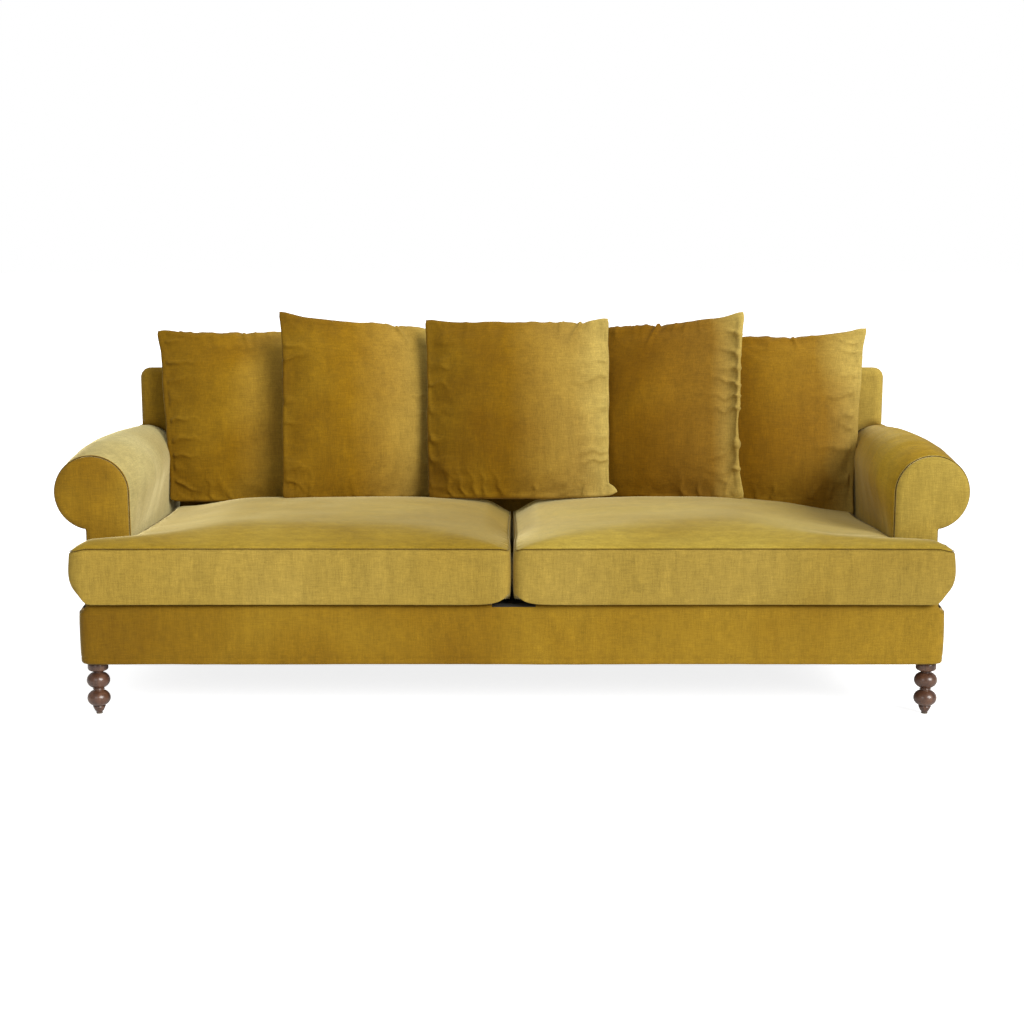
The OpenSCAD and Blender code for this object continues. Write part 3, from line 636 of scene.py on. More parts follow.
def arm_cover(side, name, materials):
    """The padded arm: it is pinched in at the seam round its face, and meets the leaning back."""
    run = REAR_Y - ARM_FRONT_Y
    places = np.concatenate([[0, 0.002, 0.005, 0.009, 0.014], np.arange(0.022, run - 0.02, 0.011),
                             [run - 0.016, run - 0.008, run - 0.003, run]])
    rings = []
    for along in places:
        section = arm_section(along / run)
        pinch = 0.0035 * (1 - smooth_step(along / 0.014)) - 0.003 * math.exp(-((along - 0.05) / 0.04) ** 2)
        pinch += 0.004 * (1 - smooth_step((run - along) / 0.012))
        inwards = section - plan_inset(section, 1.0)
        inwards[0] = inwards[-1] = 0
        section = section + inwards * pinch
        middle = ROLL_REACH - ROLL_R
        section[:, 0] += 0.018 * along / run * np.clip((middle - section[:, 0]) / ROLL_R, 0, 1)
        tilt = smooth_step(along / run) * (section[:, 1] - DECK_Z) * math.tan(LEAN)
        rings.append(np.column_stack([section[:, 0], ARM_FRONT_Y + along + tilt, section[:, 1]]))
    points, faces = loft(rings, True, True)
    points[:, 0] *= side
    # Lighter copies of the velvet: painted light, and painted sheen on the left arm.
    cover = mesh_object(name, points, faces, materials["velvet_arm" if side < 0 else "velvet_arm_right"])
    outward(cover)
    ruffle(cover, [(0.24, 0.0022), (0.09, 0.0011), (0.03, 0.0004)], 11 if side > 0 else 17)
    return cover


def upright(outline, side, y):
    """A 2-D outline stood up across the arm's front, at a depth y."""
    return np.column_stack([outline[:, 0] * side, np.broadcast_to(y, len(outline)), outline[:, 1]])


def arm_face(side, name, materials):
    """The flat panel on the arm's front: domed a little, with a rolled edge and a thin self-welt."""
    outline = even(arm_section(0), 0.0055)
    edge = 0.007
    points, faces = filled(outline, 0.008)
    d = distance_to(points, outline)
    y = FACING_Y + 0.0012 + rolled_edge(d, edge) - 0.001 * smooth_step(d / 0.05)
    y += 0.0005 * plan_field(points, 22, 2)
    # The right arm's face takes a lighter copy of the velvet: painted light. The left one keeps the base
    # velvet.
    velvet = materials["velvet" if side < 0 else "velvet_face"]
    front = mesh_object("front", upright(points, side, y), faces, velvet)
    rings = [upright(outline, side, v) for v in np.linspace(FACING_Y + 0.0012 + edge, ARM_FRONT_Y + 0.001, 4)]
    rings[-1][:, [0, 2]] = plan_inset(outline, -0.0035) * (side, 1)
    wall = mesh_object("wall", *loft(rings, False, True), velvet)
    face = joined(name, [front, wall])
    outward(face, weld=True)
    path = even(arm_section(0), 0.009)
    path = path[path[:, 1] > DECK_Z + 0.004]
    start = int(np.argmin(np.hypot(path[:, 0] - ARM_X, path[:, 1] - DECK_Z)))
    path = np.roll(path, -start, 0)
    path = plan_inset(path, 0.0005)
    welt = tube("welt", upright(path, side, ARM_FRONT_Y - 0.001), 0.0028, velvet)
    # A thin near-black brown tube beside the welt: painted shadow of the seam's groove.
    between = upright(plan_inset(path, 0.0008), side, ARM_FRONT_Y - 0.0040)
    seam = tube("seam", between, 0.0009, materials["seam"], sides=6)
    return joined(name, [face, welt, seam])


def arms(materials):
    for side, word in ((-1, "left"), (1, "right")):
        cover = arm_cover(side, word + "_arm_cover", materials)
        finish_piece(cover, "root", "velvet", word + "_arm_pad", fill=0.85)
        face = arm_face(side, word + "_arm_face", materials)
        finish_piece(face, "root", "velvet", word + "_arm_facing", fill=0.8)


# Back
def leaned(x, t, w):
    """From the back's own frame to the room's: x across, t through it, w up it."""
    cos, sin = math.cos(LEAN), math.sin(LEAN)
    return np.column_stack([x, BACK_Y + t * cos + w * sin, DECK_Z - t * sin + w * cos])


def back_outline(t):
    """Outline of the back at a depth t: the room between the arms, the notches over them, the round corners."""
    gap, r_roll = 0.0005, ROLL_R + 0.0005
    cos, sin = math.cos(LEAN), math.sin(LEAN)
    foot = t * sin / cos
    cx, cw = ROLL_REACH - ROLL_R, (ROLL_Z + 0.006 - DECK_Z + t * sin) / cos
    inner = ARM_X - gap
    a_in = math.degrees(math.acos(np.clip((inner - cx) / r_roll, -1, 1)))
    a_out = math.degrees(math.acos(np.clip((SIDE_X - cx) / r_roll, -1, 1)))
    notch = arc(cx, cw, r_roll, a_in, a_out, 14)
    corner = arc(SIDE_X - BACK_CORNER_R + 0.005, BACK_LEN - BACK_CORNER_R + 0.005, BACK_CORNER_R, 0, 90, 8)
    half = np.concatenate([[(inner, foot - 0.016)], notch, corner])
    whole = np.concatenate([half, half[::-1] * (-1, 1)])
    return even(whole, 0.012)


def back_cover(materials):
    edge = 0.020
    near, far = back_outline(edge), back_outline(BACK_T - edge)
    count = len(near)
    far = even(far, 0.012)
    run = np.linspace(0, 1, len(far), endpoint=False)
    far = np.stack([np.interp(np.linspace(0, 1, count, endpoint=False), run, far[:, k]) for k in (0, 1)], 1)
    # The back's velvet paints shade at its left and a brighter highlight at its right.
    velvet = materials["velvet_back"]
    parts = []
    for outline, t0, sign in ((near, 0.0, 1), (far, BACK_T, -1)):
        points, faces = filled(outline, 0.012)
        d = distance_to(points, outline)
        slack = 0.003 - 0.003 * smooth_step(d / 0.12) + 0.0009 * plan_field(points, 5, 4 + sign)
        t = t0 + sign * (rolled_edge(d, edge) + 0.0012 + slack)
        parts.append(mesh_object("face", leaned(points[:, 0], t, points[:, 1]), faces, velvet))
    rings = []
    for share in np.linspace(0, 1, 9):
        ring = near + (far - near) * share
        seam = 0.002 * math.exp(-((share - 0.86) / 0.03) ** 2)
        ring = plan_inset(ring, seam)
        t = edge + 0.0042 + (BACK_T - 2 * edge - 0.0084) * share
        rings.append(leaned(ring[:, 0], np.full(count, t), ring[:, 1]))
    parts.append(mesh_object("side", *loft(rings), velvet))
    back = joined("back_cover", parts)
    outward(back, weld=True)
    finish_piece(back, "root", "velvet", "inside_back", "outside_back", fill=0.8)


# Cloth
def puff(obj, pressure, cap, frames, grow=0.0, stiff=12.0, bend=0.4, pins=None):
    """Blows a closed cloth up from inside, and keeps how far each point moved under the cap."""
    start = get_points(obj)
    cloth = obj.modifiers.new("Cloth", "CLOTH")
    settings = cloth.settings
    settings.quality = 6
    settings.mass = 0.3
    settings.tension_stiffness = settings.compression_stiffness = stiff
    settings.shear_stiffness = stiff * 0.5
    settings.bending_stiffness = bend
    settings.air_damping = 4.0
    settings.use_pressure = True
    settings.uniform_pressure_force = pressure
    settings.shrink_min = -grow
    settings.effector_weights.gravity = 0
    cloth.collision_settings.use_collision = False
    cloth.collision_settings.use_self_collision = False
    if pins is not None:
        group = obj.vertex_groups.new(name="pins")
        for weight in sorted(set(np.round(pins, 2))):
            if weight > 0:
                group.add(np.flatnonzero(np.round(pins, 2) == weight).tolist(), float(weight), "REPLACE")
        settings.vertex_group_mass = "pins"
        settings.pin_stiffness = 2.0
    scene = bpy.context.scene
    cloth.point_cache.frame_start, cloth.point_cache.frame_end = 1, frames
    for frame_number in range(1, frames + 1):
        scene.frame_set(frame_number)
    posed = obj.evaluated_get(bpy.context.evaluated_depsgraph_get()).to_mesh()
    moved = np.empty(len(start) * 3)
    posed.vertices.foreach_get("co", moved)
    obj.evaluated_get(bpy.context.evaluated_depsgraph_get()).to_mesh_clear()
    obj.modifiers.clear()
    obj.vertex_groups.clear()
    scene.frame_set(1)
    shift = moved.reshape(-1, 3) - start
    length = np.linalg.norm(shift, axis=1)
    shift *= (cap * np.tanh(length / cap) / np.maximum(length, 1e-9))[:, None]
    set_points(obj, start + shift)


def subdivided(obj):
    """One level of subdivision, applied."""
    obj.modifiers.new("Subdivision", "SUBSURF").levels = 1
    mesh = bpy.data.meshes.new_from_object(obj.evaluated_get(bpy.context.evaluated_depsgraph_get()))
    obj.modifiers.clear()
    obj.data = mesh
    for polygon in mesh.polygons:
        polygon.use_smooth = True


# Seat cushions: T-shaped, crowned, boxed, with a wing in front of the arm
CUSHION_CORNERS = np.array([
    (CUSHION_IN, SEAT_FRONT), (WING_X, SEAT_FRONT), (WING_X, WING_Y),
    (CUSHION_OUT, WING_Y), (CUSHION_OUT, SEAT_REAR), (CUSHION_IN, SEAT_REAR)])
CORNER_SHARES = [1, 1, 0.7, -0.04, 1, 1]


def cushion_plan(draw, step):
    """The cushion's outline, its sides drawn in by draw between the corners."""
    points = []
    for i in range(6):
        before, p, after = (CUSHION_CORNERS[(i + k) % 6] for k in (5, 0, 1))
        share, follows = CORNER_SHARES[i], CORNER_SHARES[(i + 1) % 6]
        u, v = (p - before) / np.linalg.norm(p - before), (after - p) / np.linalg.norm(after - p)
        r = CUSHION_R * abs(share)
        c = p - r * u + r * v
        begin = math.degrees(math.atan2(-v[1], -v[0]))
        points.append(arc(c[0], c[1], r, begin, begin + math.copysign(90, share), 6))
        length = np.linalg.norm(after - p)
        a, b = p + v * r, after - v * CUSHION_R * abs(follows)
        t = np.linspace(0, 1, max(3, int(length / 0.006)))[1:-1, None]
        bow = draw * min(1, length / 0.284)
        points.append(a + (b - a) * t + np.array([-v[1], v[0]]) * bow * np.sin(np.pi * t))
    return even(np.concatenate(points), step)


def crown_at(points):
    """Height of the crown over the top seam. It stays up beside the arm's front, as in the CAD solid."""
    corners = CUSHION_CORNERS
    lines = [(corners[0], corners[1]), (corners[1], corners[2]),
             (corners[2], corners[2] + 0.4 * (corners[3] - corners[2])),
             (corners[3] + 0.3 * (corners[4] - corners[3]), corners[4]),
             (corners[4], corners[5]), (corners[5], corners[0])]
    total = 0
    for (p, q), share in zip(lines, (1, 1, 1, 0.45, 0.75, 0.45)):
        d = q - p
        t = np.clip(((points - p) @ d) / (d @ d), 0, 1)
        away = np.linalg.norm(points - p - t[:, None] * d, axis=1)
        total = total + np.maximum(away * share, 0.0005) ** -CROWN_BLEND
    near = total ** (-1 / CROWN_BLEND)
    rise = (1 - (1 - np.minimum(near / CROWN_REACH, 1)) ** 2) ** CROWN_POWER
    return CROWN_PEAK * rise


def seat_cushion(side, materials):
    word = "right" if side > 0 else "left"
    step = 0.0095
    plan = cushion_plan(0.005, step)
    inner, faces = filled(plan_inset(plan, 0.002), step)
    seed = 21 if side > 0 else 34
    plan_noise = np.c_[inner, np.zeros(len(inner))]
    crown = crown_at(inner) * np.minimum(1, distance_to(inner, inner[:len(plan)]) / 0.014) ** 0.6
    # The crown sinks beside the arm, sooner on the right
    start, reach, loss = ((0.58, 0.30, 0.72) if side > 0 else (0.72, 0.22, 0.55))
    sunk = loss * smooth_step((inner[:, 0] - start) / reach)
    crown *= 1 - sunk * (0.25 + 0.75 * smooth_step((inner[:, 1] - WING_Y + 0.12) / 0.14))
    crown *= 1 - 0.72 * np.exp(-(inner[:, 0] / 0.042) ** 2)
    slack = crown / CROWN_H * (0.0045 * field(plan_noise, 3.2, seed) + 0.002 * field(plan_noise, 9, seed + 1))
    # The tops take lighter copies of the velvet, painted light, the right one lighter still.
    top = mesh_object("top", np.c_[inner, SEAM_Z + crown * 0.93 + slack], faces,
                      materials["velvet_top" if side < 0 else "velvet_top_right"])
    under, under_faces = filled(plan_inset(plan, 0.004), 0.022)
    bottom = mesh_object("bottom", level(under, SEAT_Z + 0.001), under_faces, materials["velvet"])
    rows = [(0.004, SEAT_Z + 0.001), (0.0022, SEAT_Z + 0.003)]
    rows += [(0.002, z) for z in np.linspace(SEAT_Z + 0.008, SEAM_Z - 0.006, 14)]
    rows += [(0.002, SEAM_Z)]
    rings = [level(plan_inset(plan, d), z) for d, z in rows]
    # The boxing takes a lighter copy of the velvet: painted light.
    boxing = mesh_object("boxing", *loft(rings), materials["velvet_light"])
    cushion = joined(word + "_seat_cushion_cover", [top, boxing, bottom])
    outward(cushion, weld=True)
    points = lifted_wing(get_points(cushion))
    points[:, 0] *= side
    set_points(cushion, points)
    outward(cushion)
    # Both seams hold the cloth; the underside lies on the platform
    z = points[:, 2]
    to_edge = distance_to(points[:, :2] * (side, 1), plan)
    pins = np.where((np.abs(z - SEAM_Z) < 0.0015) & (to_edge < 0.0035), 1.0, 0.0)
    pins[z < SEAT_Z + 0.004] = 1.0
    cap = np.where(z > SEAM_Z + 0.002, 0.005, 0.010)
    puff(cushion, 3.0, cap, 18, bend=4.0, pins=pins)
    points = get_points(cushion)
    top_of = points[:, 2].max()
    over = points[:, 2] > SEAM_Z
    points[over, 2] = SEAM_Z + (points[over, 2] - SEAM_Z) * CROWN_H / (top_of - SEAM_Z)
    points[:, 1] = np.maximum(points[:, 1], SEAT_FRONT - 0.003)
    points[:, 0] = side * np.maximum(points[:, 0] * side, CUSHION_IN - 0.0004)
    set_points(cushion, points)
    subdivided(cushion)
    seam_groove(cushion, plan, side)
    # A thin near-black brown tube in the top seam's groove: painted shadow of the groove.
    path = plan_inset(even(plan, 0.008), 0.0034) * (side, 1)
    path = path[path[:, 1] < SEAT_REAR - 0.02]
    start = int(np.argmax(np.linalg.norm(np.diff(path, axis=0, append=path[:1]), axis=1))) + 1
    path = np.roll(path, -start, 0)
    painted_seam_shadow = tube("painted_seam_shadow", level(path, SEAM_Z), 0.0010, materials["seam"], sides=6)
    cushion = joined(cushion.name, [cushion, painted_seam_shadow])
    set_points(cushion, drooped(get_points(cushion), side))
    finish_piece(cushion, word + "_seat", "velvet", word + "_seat_cushion", fill=0.85)


def lifted_wing(points):
    """The lower outer edge of the wing, past the base, curves up and in, as does the inner front corner."""
    x, y, z = points.T
    near = smooth_step(1 - (WING_X - x) / 0.050) * (y < WING_Y + 0.01)
    low = np.clip(1 - (z - SEAT_Z) / 0.085, 0, 1)
    lifted = points.copy()
    lifted[:, 2] += near * low ** 1.6 * 0.034
    lifted[:, 0] -= near * low ** 2 * 0.012
    inner = np.exp(-np.maximum(x - CUSHION_IN, 0) / 0.022) * smooth_step(1 - (y - SEAT_FRONT) / 0.09)
    lifted[:, 2] += inner * low ** 1.5 * 0.036
    lifted[:, 0] += inner * low ** 2 * 0.003
    return lifted


def drooped(points, side):
    """The wing's end bulges, its top corner sinks, and the two cushions part a little over the split."""
    points = points.copy()
    x, y, z = points[:, 0] * side, points[:, 1], points[:, 2]
    high = np.clip((z - SEAM_Z + 0.045) / 0.045, 0, 1)
    corner = smooth_step(1 - (WING_X - x) / 0.050) * (y < WING_Y + 0.01)
    points[:, 2] -= 0.009 * corner * high
    share = np.clip((z - SEAT_Z) / (SEAM_Z - SEAT_Z), 0, 1)
    out = 0.006 * corner * np.sin(np.pi * share)
    split = smooth_step(1 - (x - CUSHION_IN) / 0.030) * smooth_step(1 - (y - SEAT_FRONT) / 0.10)
    out += 0.0035 * split * high
    points[:, 2] -= 0.006 * split * high
    points[:, 2] -= 0.022 * smooth_step(1 - x / 0.075) * smooth_step((y - SEAT_FRONT - 0.08) / 0.30) * high
    rear = smooth_step((x - CUSHION_OUT + 0.22) / 0.20) * smooth_step((y - SEAT_REAR + 0.55) / 0.45)
    points[:, 2] -= (0.017 if side > 0 else 0.010) * rear * high
    points[:, 0] += side * out
    return points


def seam_groove(obj, plan, side):
    """The top seam: a narrow dip with small puckers running across it."""
    points, normals = get_points(obj), get_normals(obj)
    z = points[:, 2]
    to_edge = distance_to(points[:, :2] * (side, 1), plan)
    away = np.hypot(z - SEAM_Z, np.maximum(to_edge - 0.002, 0))
    along = np.c_[points[:, 0] + points[:, 1], points[:, 0] - points[:, 1], np.zeros(len(points))]
    pucker = field(along, 55, 9) + 0.6 * field(along, 23, 10)
    dip = -0.0052 * np.exp(-(away / 0.0034) ** 2)
    dip += 0.0012 * pucker * np.exp(-((away - 0.012) / 0.012) ** 2)
    set_points(obj, points + normals * dip[:, None])


# Back pillows: two squares sewn at the edge and filled
def wanted_for(node_name):
    return {**PLAIN_PILLOW, **PILLOWS[node_name]}


def pillow_grid(cells, even_share):
    """Grid places of both faces. Returns a, b, face for each point, and the faces of the mesh."""
    spread = np.sin(np.radians(90 * (2 * np.arange(cells + 1) / cells - 1)))
    spread = (1 - even_share) * spread + even_share * np.linspace(-1, 1, cells + 1)
    a, b = np.meshgrid(spread, spread)
    front = np.stack([a.ravel(), b.ravel(), np.full(a.size, -1.0)], 1)
    m = cells + 1
    rim = (np.abs(a) == 1) | (np.abs(b) == 1)
    back_of = np.arange(m * m).reshape(m, m)
    back_of[~rim] = m * m + np.arange((~rim).sum())
    back = np.stack([a[~rim], b[~rim], np.full((~rim).sum(), 1.0)], 1)
    faces = []
    for j in range(cells):
        for i in range(cells):
            p = j * m + i
            faces.append((p, p + 1, p + m + 1, p + m))
            faces.append((int(back_of[j, i]), int(back_of[j + 1, i]),
                          int(back_of[j + 1, i + 1]), int(back_of[j, i + 1])))
    return np.concatenate([front, back]), faces


def pillow_form(grid, tip):
    """The plain pillow, as in the CAD solid."""
    a, b, face = grid.T
    swell = np.maximum(0, (1 - a ** 2) * (1 - b ** 2)) ** 0.4
    x = a * (PILLOW_W / 2 - PILLOW_DRAW * (1 - b ** 2))
    z = b * (PILLOW_H / 2 - PILLOW_DRAW * (1 - a ** 2)) + tip * a * (1 + b) / 2
    return np.stack([x, face * swell * PILLOW_T / 2, z], 1)


def sewn_pillow(grid, number):
    """The pillow as it was sewn, with ears at the corners."""
    a, b, face = grid.T
    wanted = wanted_for(f"pillow_{number}")
    ears, rise = wanted["ears"], wanted["rise"]

    def edge_shift(along, lower, upper):
        """How far an edge stands out at a place along it: full between its ears, nipped beside them."""
        ear = np.where(along < 0, lower, upper)
        start = np.where(ear > 2, 0.87, 0.66)
        flare = np.clip((np.abs(along) - start) / (1 - start), 0, 1) ** np.where(ear > 2, 0.55, 1.8)
        places = np.stack([along * 0.25, np.full(len(along), number * 1.7),
                           np.full(len(along), lower + 2 * upper)], 1)
        wave = (0.0026 * field(places, 16, number) + 0.0009 * field(places, 45, number)) * (1 - flare)
        return 0.014 * ear * flare - 0.0045 * np.clip(ear, 0, 1) + 0.001 + wave

    left = edge_shift(b, ears[0], ears[2]) + wanted["wide"][0]
    right = edge_shift(b, ears[1], ears[3]) + wanted["wide"][1]
    low = edge_shift(a, rise[0], rise[1])
    high = edge_shift(a, rise[2], rise[3]) - wanted["low"] - wanted["sag"] * (1 - a ** 2)
    x = a * PILLOW_W / 2 + np.where(a < 0, -left, right) * np.abs(a) ** 3
    z = b * PILLOW_H / 2 + np.where(b < 0, -low, high) * np.abs(b) ** 3 + wanted["tip"] * a * (1 + b) / 2
    z -= wanted["slump"] * smooth_step((a + 0.5) / 1.5) ** 1.3 * smooth_step((0.5 - b) / 1.5)
    # The corners are turned with a blunt end
    corner = np.hypot((1 - np.abs(a)) * PILLOW_W / 2, (1 - np.abs(b)) * PILLOW_H / 2)
    blunt = 0.006 * np.exp(-(corner / 0.013) ** 2)
    x, z = x - np.sign(a) * blunt, z - np.sign(b) * blunt
    # The front is domed, and the rear keeps its depth closer to the seam
    front = np.maximum(0, 1 - np.abs(a) ** 2.1) ** 0.60 * np.maximum(0, 1 - np.abs(b) ** 2.2) ** 0.52
    rear = np.maximum(0, 1 - np.abs(a) ** 4) ** 0.42 * np.maximum(0, 1 - np.abs(b) ** 3) ** 0.5
    swell = np.where(face > 0, rear, front)
    points = np.stack([x, face * swell * PILLOW_T * (0.46 - 0.06 * face), z], 1)
    points[:, 1] -= wanted["seam"] * smooth_step((a - 0.82) / 0.18) * (1 - b ** 4)
    # Slack: broad, shallow dents in the faces
    broad = field(np.c_[points[:, 0], points[:, 2], face * 0.3], 7, number * 9)
    points[:, 1] += face * swell * 0.006 * broad
    return points


def creases(places, scale, width, seed):
    """Sharp, narrow valleys where smooth noise crosses zero, with soft rounded ridges between them."""
    n = field(places, scale, seed)
    return 0.9 * np.abs(n) ** 0.8 - np.exp(-(n / width) ** 2)


def gathers(obj, number):
    """The stuffing pulls the cloth at the seams: creases run in from every edge, uneven in length."""
    points, normals = get_points(obj), get_normals(obj)
    wanted = wanted_for(f"pillow_{number}")
    a, b = points[:, 0] / (PILLOW_W / 2), points[:, 2] / (PILLOW_H / 2)
    face = np.sign(points[:, 1])
    flat = np.zeros(len(points))
    shift = np.zeros(len(points))
    for along, across, seed in ((b, a, 1), (a, b, 2)):
        inward = np.maximum(0, 1 - np.abs(across)) * PILLOW_W / 2
        side = np.sign(across) * 3 + face
        run = along * PILLOW_W / 2
        key = number * 11 + seed * 3
        reach = (0.062 if seed == 1 else 0.044) + 0.060 * field(np.stack([run, side, flat], 1), 14, key + 5)
        reach = np.maximum(reach, 0.014)
        strength = 1.0 if seed == 1 else np.where(b > 0, 0.5, 0.8)
        fade = strength * np.exp(-(inward / reach) ** 2) * smooth_step(inward / 0.009)
        fade *= smooth_step((1 - np.abs(along)) / 0.20)
        drift = 0.012 * field(np.stack([run, side, inward * 6], 1), 6, key + 7)
        fan = run * (1 - 1.1 * inward) + drift
        fine = creases(np.stack([fan, side * 0.7, inward * 0.25], 1), 21, 0.13, key)
        broad = field(np.stack([fan, side * 0.9, inward * 0.3], 1), 15, key + 1)
        shift += fade * ((0.0060 if seed == 1 else 0.0048) * fine + 0.0034 * broad)
    dip = np.zeros(len(points))
    for place, slant in wanted["pinches"]:
        down = np.maximum(0, 1 - b) * PILLOW_H / 2
        off = points[:, 0] - place * PILLOW_W / 2 - slant * down
        shift -= 0.0085 * np.exp(-(off / 0.0055) ** 2 - (down / 0.048) ** 2) * (face < 0)
        shift += 0.0050 * (np.exp(-((off - 0.016) / 0.010) ** 2) + np.exp(-((off + 0.016) / 0.010) ** 2)) \
            * np.exp(-(down / 0.040) ** 2) * (face < 0)
        dip += 0.0065 * np.exp(-(off / 0.014) ** 2 - (down / 0.030) ** 2)
    points = points + normals * shift[:, None]
    points[:, 2] -= dip
    set_points(obj, points)


def placed_pillow(points, node_name):
    """Turns a pillow into its place, and moves it to where its CAD solid is."""
    wanted = wanted_for(node_name)

    def turned(p):
        r, t = math.radians(wanted["roll"]), math.radians(wanted["yaw"])
        across = p[:, 0] + wanted["shear"] * p[:, 2]
        x = across * math.cos(r) - p[:, 2] * math.sin(r)
        z = across * math.sin(r) + p[:, 2] * math.cos(r)
        u = x * math.cos(t) - p[:, 1] * math.sin(t)
        v = x * math.sin(t) + p[:, 1] * math.cos(t)
        return leaned(u, v, z)

    plain = turned(pillow_form(pillow_grid(15, 0)[0], wanted["tip"]))
    low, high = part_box(node_name)
    shift = (np.array(low) + np.array(high)) / 2 - (plain.min(0) + plain.max(0)) / 2
    return turned(points) + shift


def pillow(number, materials):
    node_name = f"pillow_{number}"
    grid, faces = pillow_grid(80, 0.7)
    points = sewn_pillow(grid, number)
    # Pillows 1 to 3: painted shade at their left, a painted highlight at their right. Pillows 4 and 5 take a
    # darker copy, painted shade, with a brighter painted highlight.
    velvet = materials["pillow_velvet" if number < 4 else "pillow_velvet_right"]
    cover = mesh_object(f"pillow_{number}_cover", points, faces, velvet)
    outward(cover)
    puff(cover, 3.0, 0.009, 12, grow=0.012, stiff=14.0, bend=0.08)
    subdivided(cover)
    gathers(cover, number)
    ruffle(cover, [(0.05, 0.0007), (0.014, 0.0003)], number * 3)
    set_points(cover, placed_pillow(get_points(cover), node_name))
    finish_piece(cover, f"loose_pillow_{number}", "pillow_velvet", node_name, fill=0.7)


# Legs, turned from one piece
def leg_profile():
    """Radius and height up the leg: a tapered foot, two beads with a ring between, and a collar."""
    points = [(0.0068, 0.003), (0.0078, 0.0038), (0.0082, 0.006)]
    for t in np.linspace(0, 1, 9)[1:]:
        points.append((0.0092 + 0.0068 * t ** 0.8, 0.006 + (BASE_Z * 0.142 - 0.006) * t))
    for middle in (0.297, 0.632):
        for angle in np.radians(np.linspace(-70, 70, 25)):
            points.append((0.0288 * math.cos(angle) ** 0.86, BASE_Z * middle + 0.0212 * math.sin(angle)))
        if middle < 0.5:
            points += [(0.0122, BASE_Z * 0.452), (0.0150, BASE_Z * 0.4645), (0.0122, BASE_Z * 0.477)]
    points += [(0.0125, BASE_Z * 0.79), (0.0170, BASE_Z * 0.806)]
    for angle in np.radians(np.linspace(-70, 0, 8)):
        points.append((0.0190 + 0.0065 * math.cos(angle), BASE_Z * 0.862 + 0.0065 * math.sin(angle)))
    points += [(0.0255, BASE_Z * 0.9), (0.0255, BASE_Z - 0.0002)]
    return np.array(points)


def leg(name, materials):
    low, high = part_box(name)
    x, y = (low.x + high.x) / 2, (low.y + high.y) / 2
    turns = 72
    angles = np.arange(turns) * 2 * math.pi / turns
    rings = [np.column_stack([x + r * np.cos(angles), y + r * np.sin(angles), np.full(turns, z)])
             for r, z in leg_profile()]
    made = mesh_object(name + "_turned", *loft(rings, True, True), materials["leg_wood"])
    outward(made)
    finish_piece(made, "root", "leg_wood", name)


def light(name, kind, place, target, energy, size=1.0, colour=(1, 1, 1)):
    data = bpy.data.lights.new(name, kind)
    data.energy = energy
    data.color = colour
    if kind == "AREA":
        data.shape = "DISK"
        data.size = size
    else:
        data.angle = math.radians(32)
    made = bpy.data.objects.new(name, data)
    made.location = place
    made.rotation_euler = (Vector(target) - Vector(place)).to_track_quat("-Z", "Y").to_euler()
    bpy.context.scene.collection.objects.link(made)


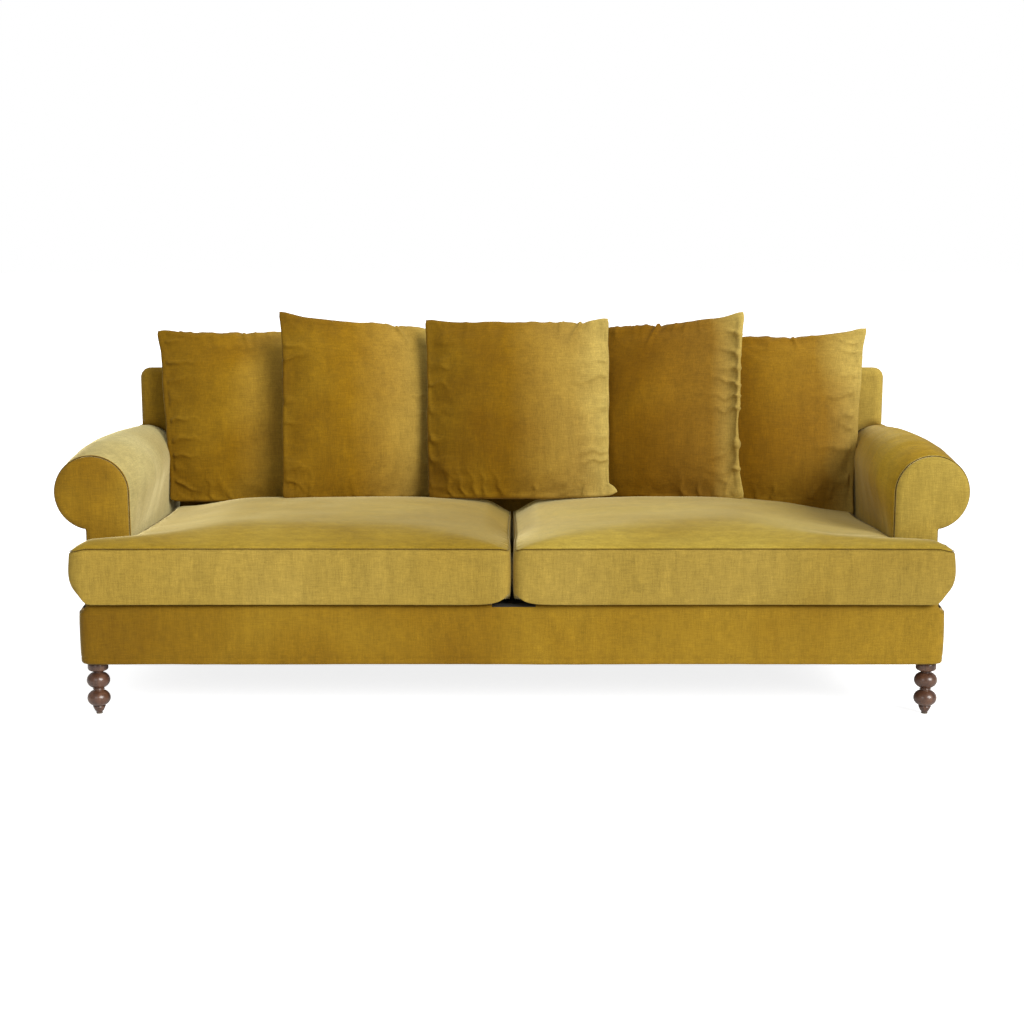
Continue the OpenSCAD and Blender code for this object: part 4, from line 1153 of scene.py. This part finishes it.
def studio():
    bpy.context.scene.view_settings.view_transform = "Standard"
    world = bpy.data.worlds.new("studio")
    bpy.context.scene.world = world
    world.use_nodes = True
    tree = world.node_tree
    background = tree.nodes["Background"]
    put(background, Color=(1, 1, 1, 1), Strength=0.30)
    seen = node(tree, "ShaderNodeBackground", Color=(1, 1, 1, 1))
    path = node(tree, "ShaderNodeLightPath")
    mix = node(tree, "ShaderNodeMixShader")
    tree.links.new(path.outputs["Is Camera Ray"], mix.inputs[0])
    tree.links.new(background.outputs[0], mix.inputs[1])
    tree.links.new(seen.outputs[0], mix.inputs[2])
    put(tree.nodes["World Output"], Surface=mix.outputs[0])
    light("key", "SUN", (3.3, -4.1, 3.3), (0, 0, 0.4), 3.0, colour=(1, 0.985, 0.96))
    light("fill", "AREA", (-2.2, -4.6, 2.0), (0, 0, 0.4), 30, 2.6)
    light("top", "AREA", (0.0, 0.6, 3.8), (0, 0, 0.5), 45, 3.4)
    corners = [(x * FLOOR_HALF, y * FLOOR_HALF, 0) for x, y in ((-1, -1), (1, -1), (1, 1), (-1, 1))]
    floor = mesh_object("floor", corners, [(0, 1, 2, 3)], floor_material(), smooth=False)


def floor_material():
    """White paper. The camera sees it a little brighter than it is, and its shadows stay."""
    material, tree, shader = new_material("floor")[:3]
    put(shader, Base_Color=(0.92, 0.92, 0.92, 1), Roughness=0.9, Specular_IOR_Level=0.1)
    glow = node(tree, "ShaderNodeEmission", Strength=0.83)
    path = node(tree, "ShaderNodeLightPath")
    seen = node(tree, "ShaderNodeMixShader")
    nothing = node(tree, "ShaderNodeEmission", Strength=0.0)
    both = node(tree, "ShaderNodeAddShader")
    tree.links.new(path.outputs["Is Camera Ray"], seen.inputs[0])
    tree.links.new(nothing.outputs[0], seen.inputs[1])
    tree.links.new(glow.outputs[0], seen.inputs[2])
    tree.links.new(shader.outputs[0], both.inputs[0])
    tree.links.new(seen.outputs[0], both.inputs[1])
    put(tree.nodes["Material Output"], Surface=both.outputs[0])
    return material


def finish_frame_nodes(materials):
    """The CAD solids that stay: frame timber, springs, webbing, bolts, plates and glides."""
    slots = {entry["node"]: entry["material_slot"] for entry in frame["record"]["subparts"]}
    for name, obj in frame["nodes"].items():
        slot_name = slots[name]
        if slot_name in materials and obj.data.materials:
            for index in range(len(obj.data.materials)):
                obj.data.materials[index] = materials[slot_name]
        elif slot_name in materials:
            obj.data.materials.append(materials[slot_name])


make_camera()
MATERIALS = make_materials()
studio()
finish_frame_nodes(MATERIALS)
base_cover(MATERIALS)
slab("seat_platform", "deck_pad", 0.022, platform_levels, MATERIALS["black_cloth"], 0.7)
slab("base_lining", "dust_cover", 0.03, lining_levels, MATERIALS["black_cloth"])
arms(MATERIALS)
back_cover(MATERIALS)
for cushion_side in (-1, 1):
    seat_cushion(cushion_side, MATERIALS)
for pillow_number in range(1, 6):
    pillow(pillow_number, MATERIALS)
for leg_name in ("front_left_leg", "front_right_leg", "rear_left_leg", "rear_right_leg"):
    leg(leg_name, MATERIALS)
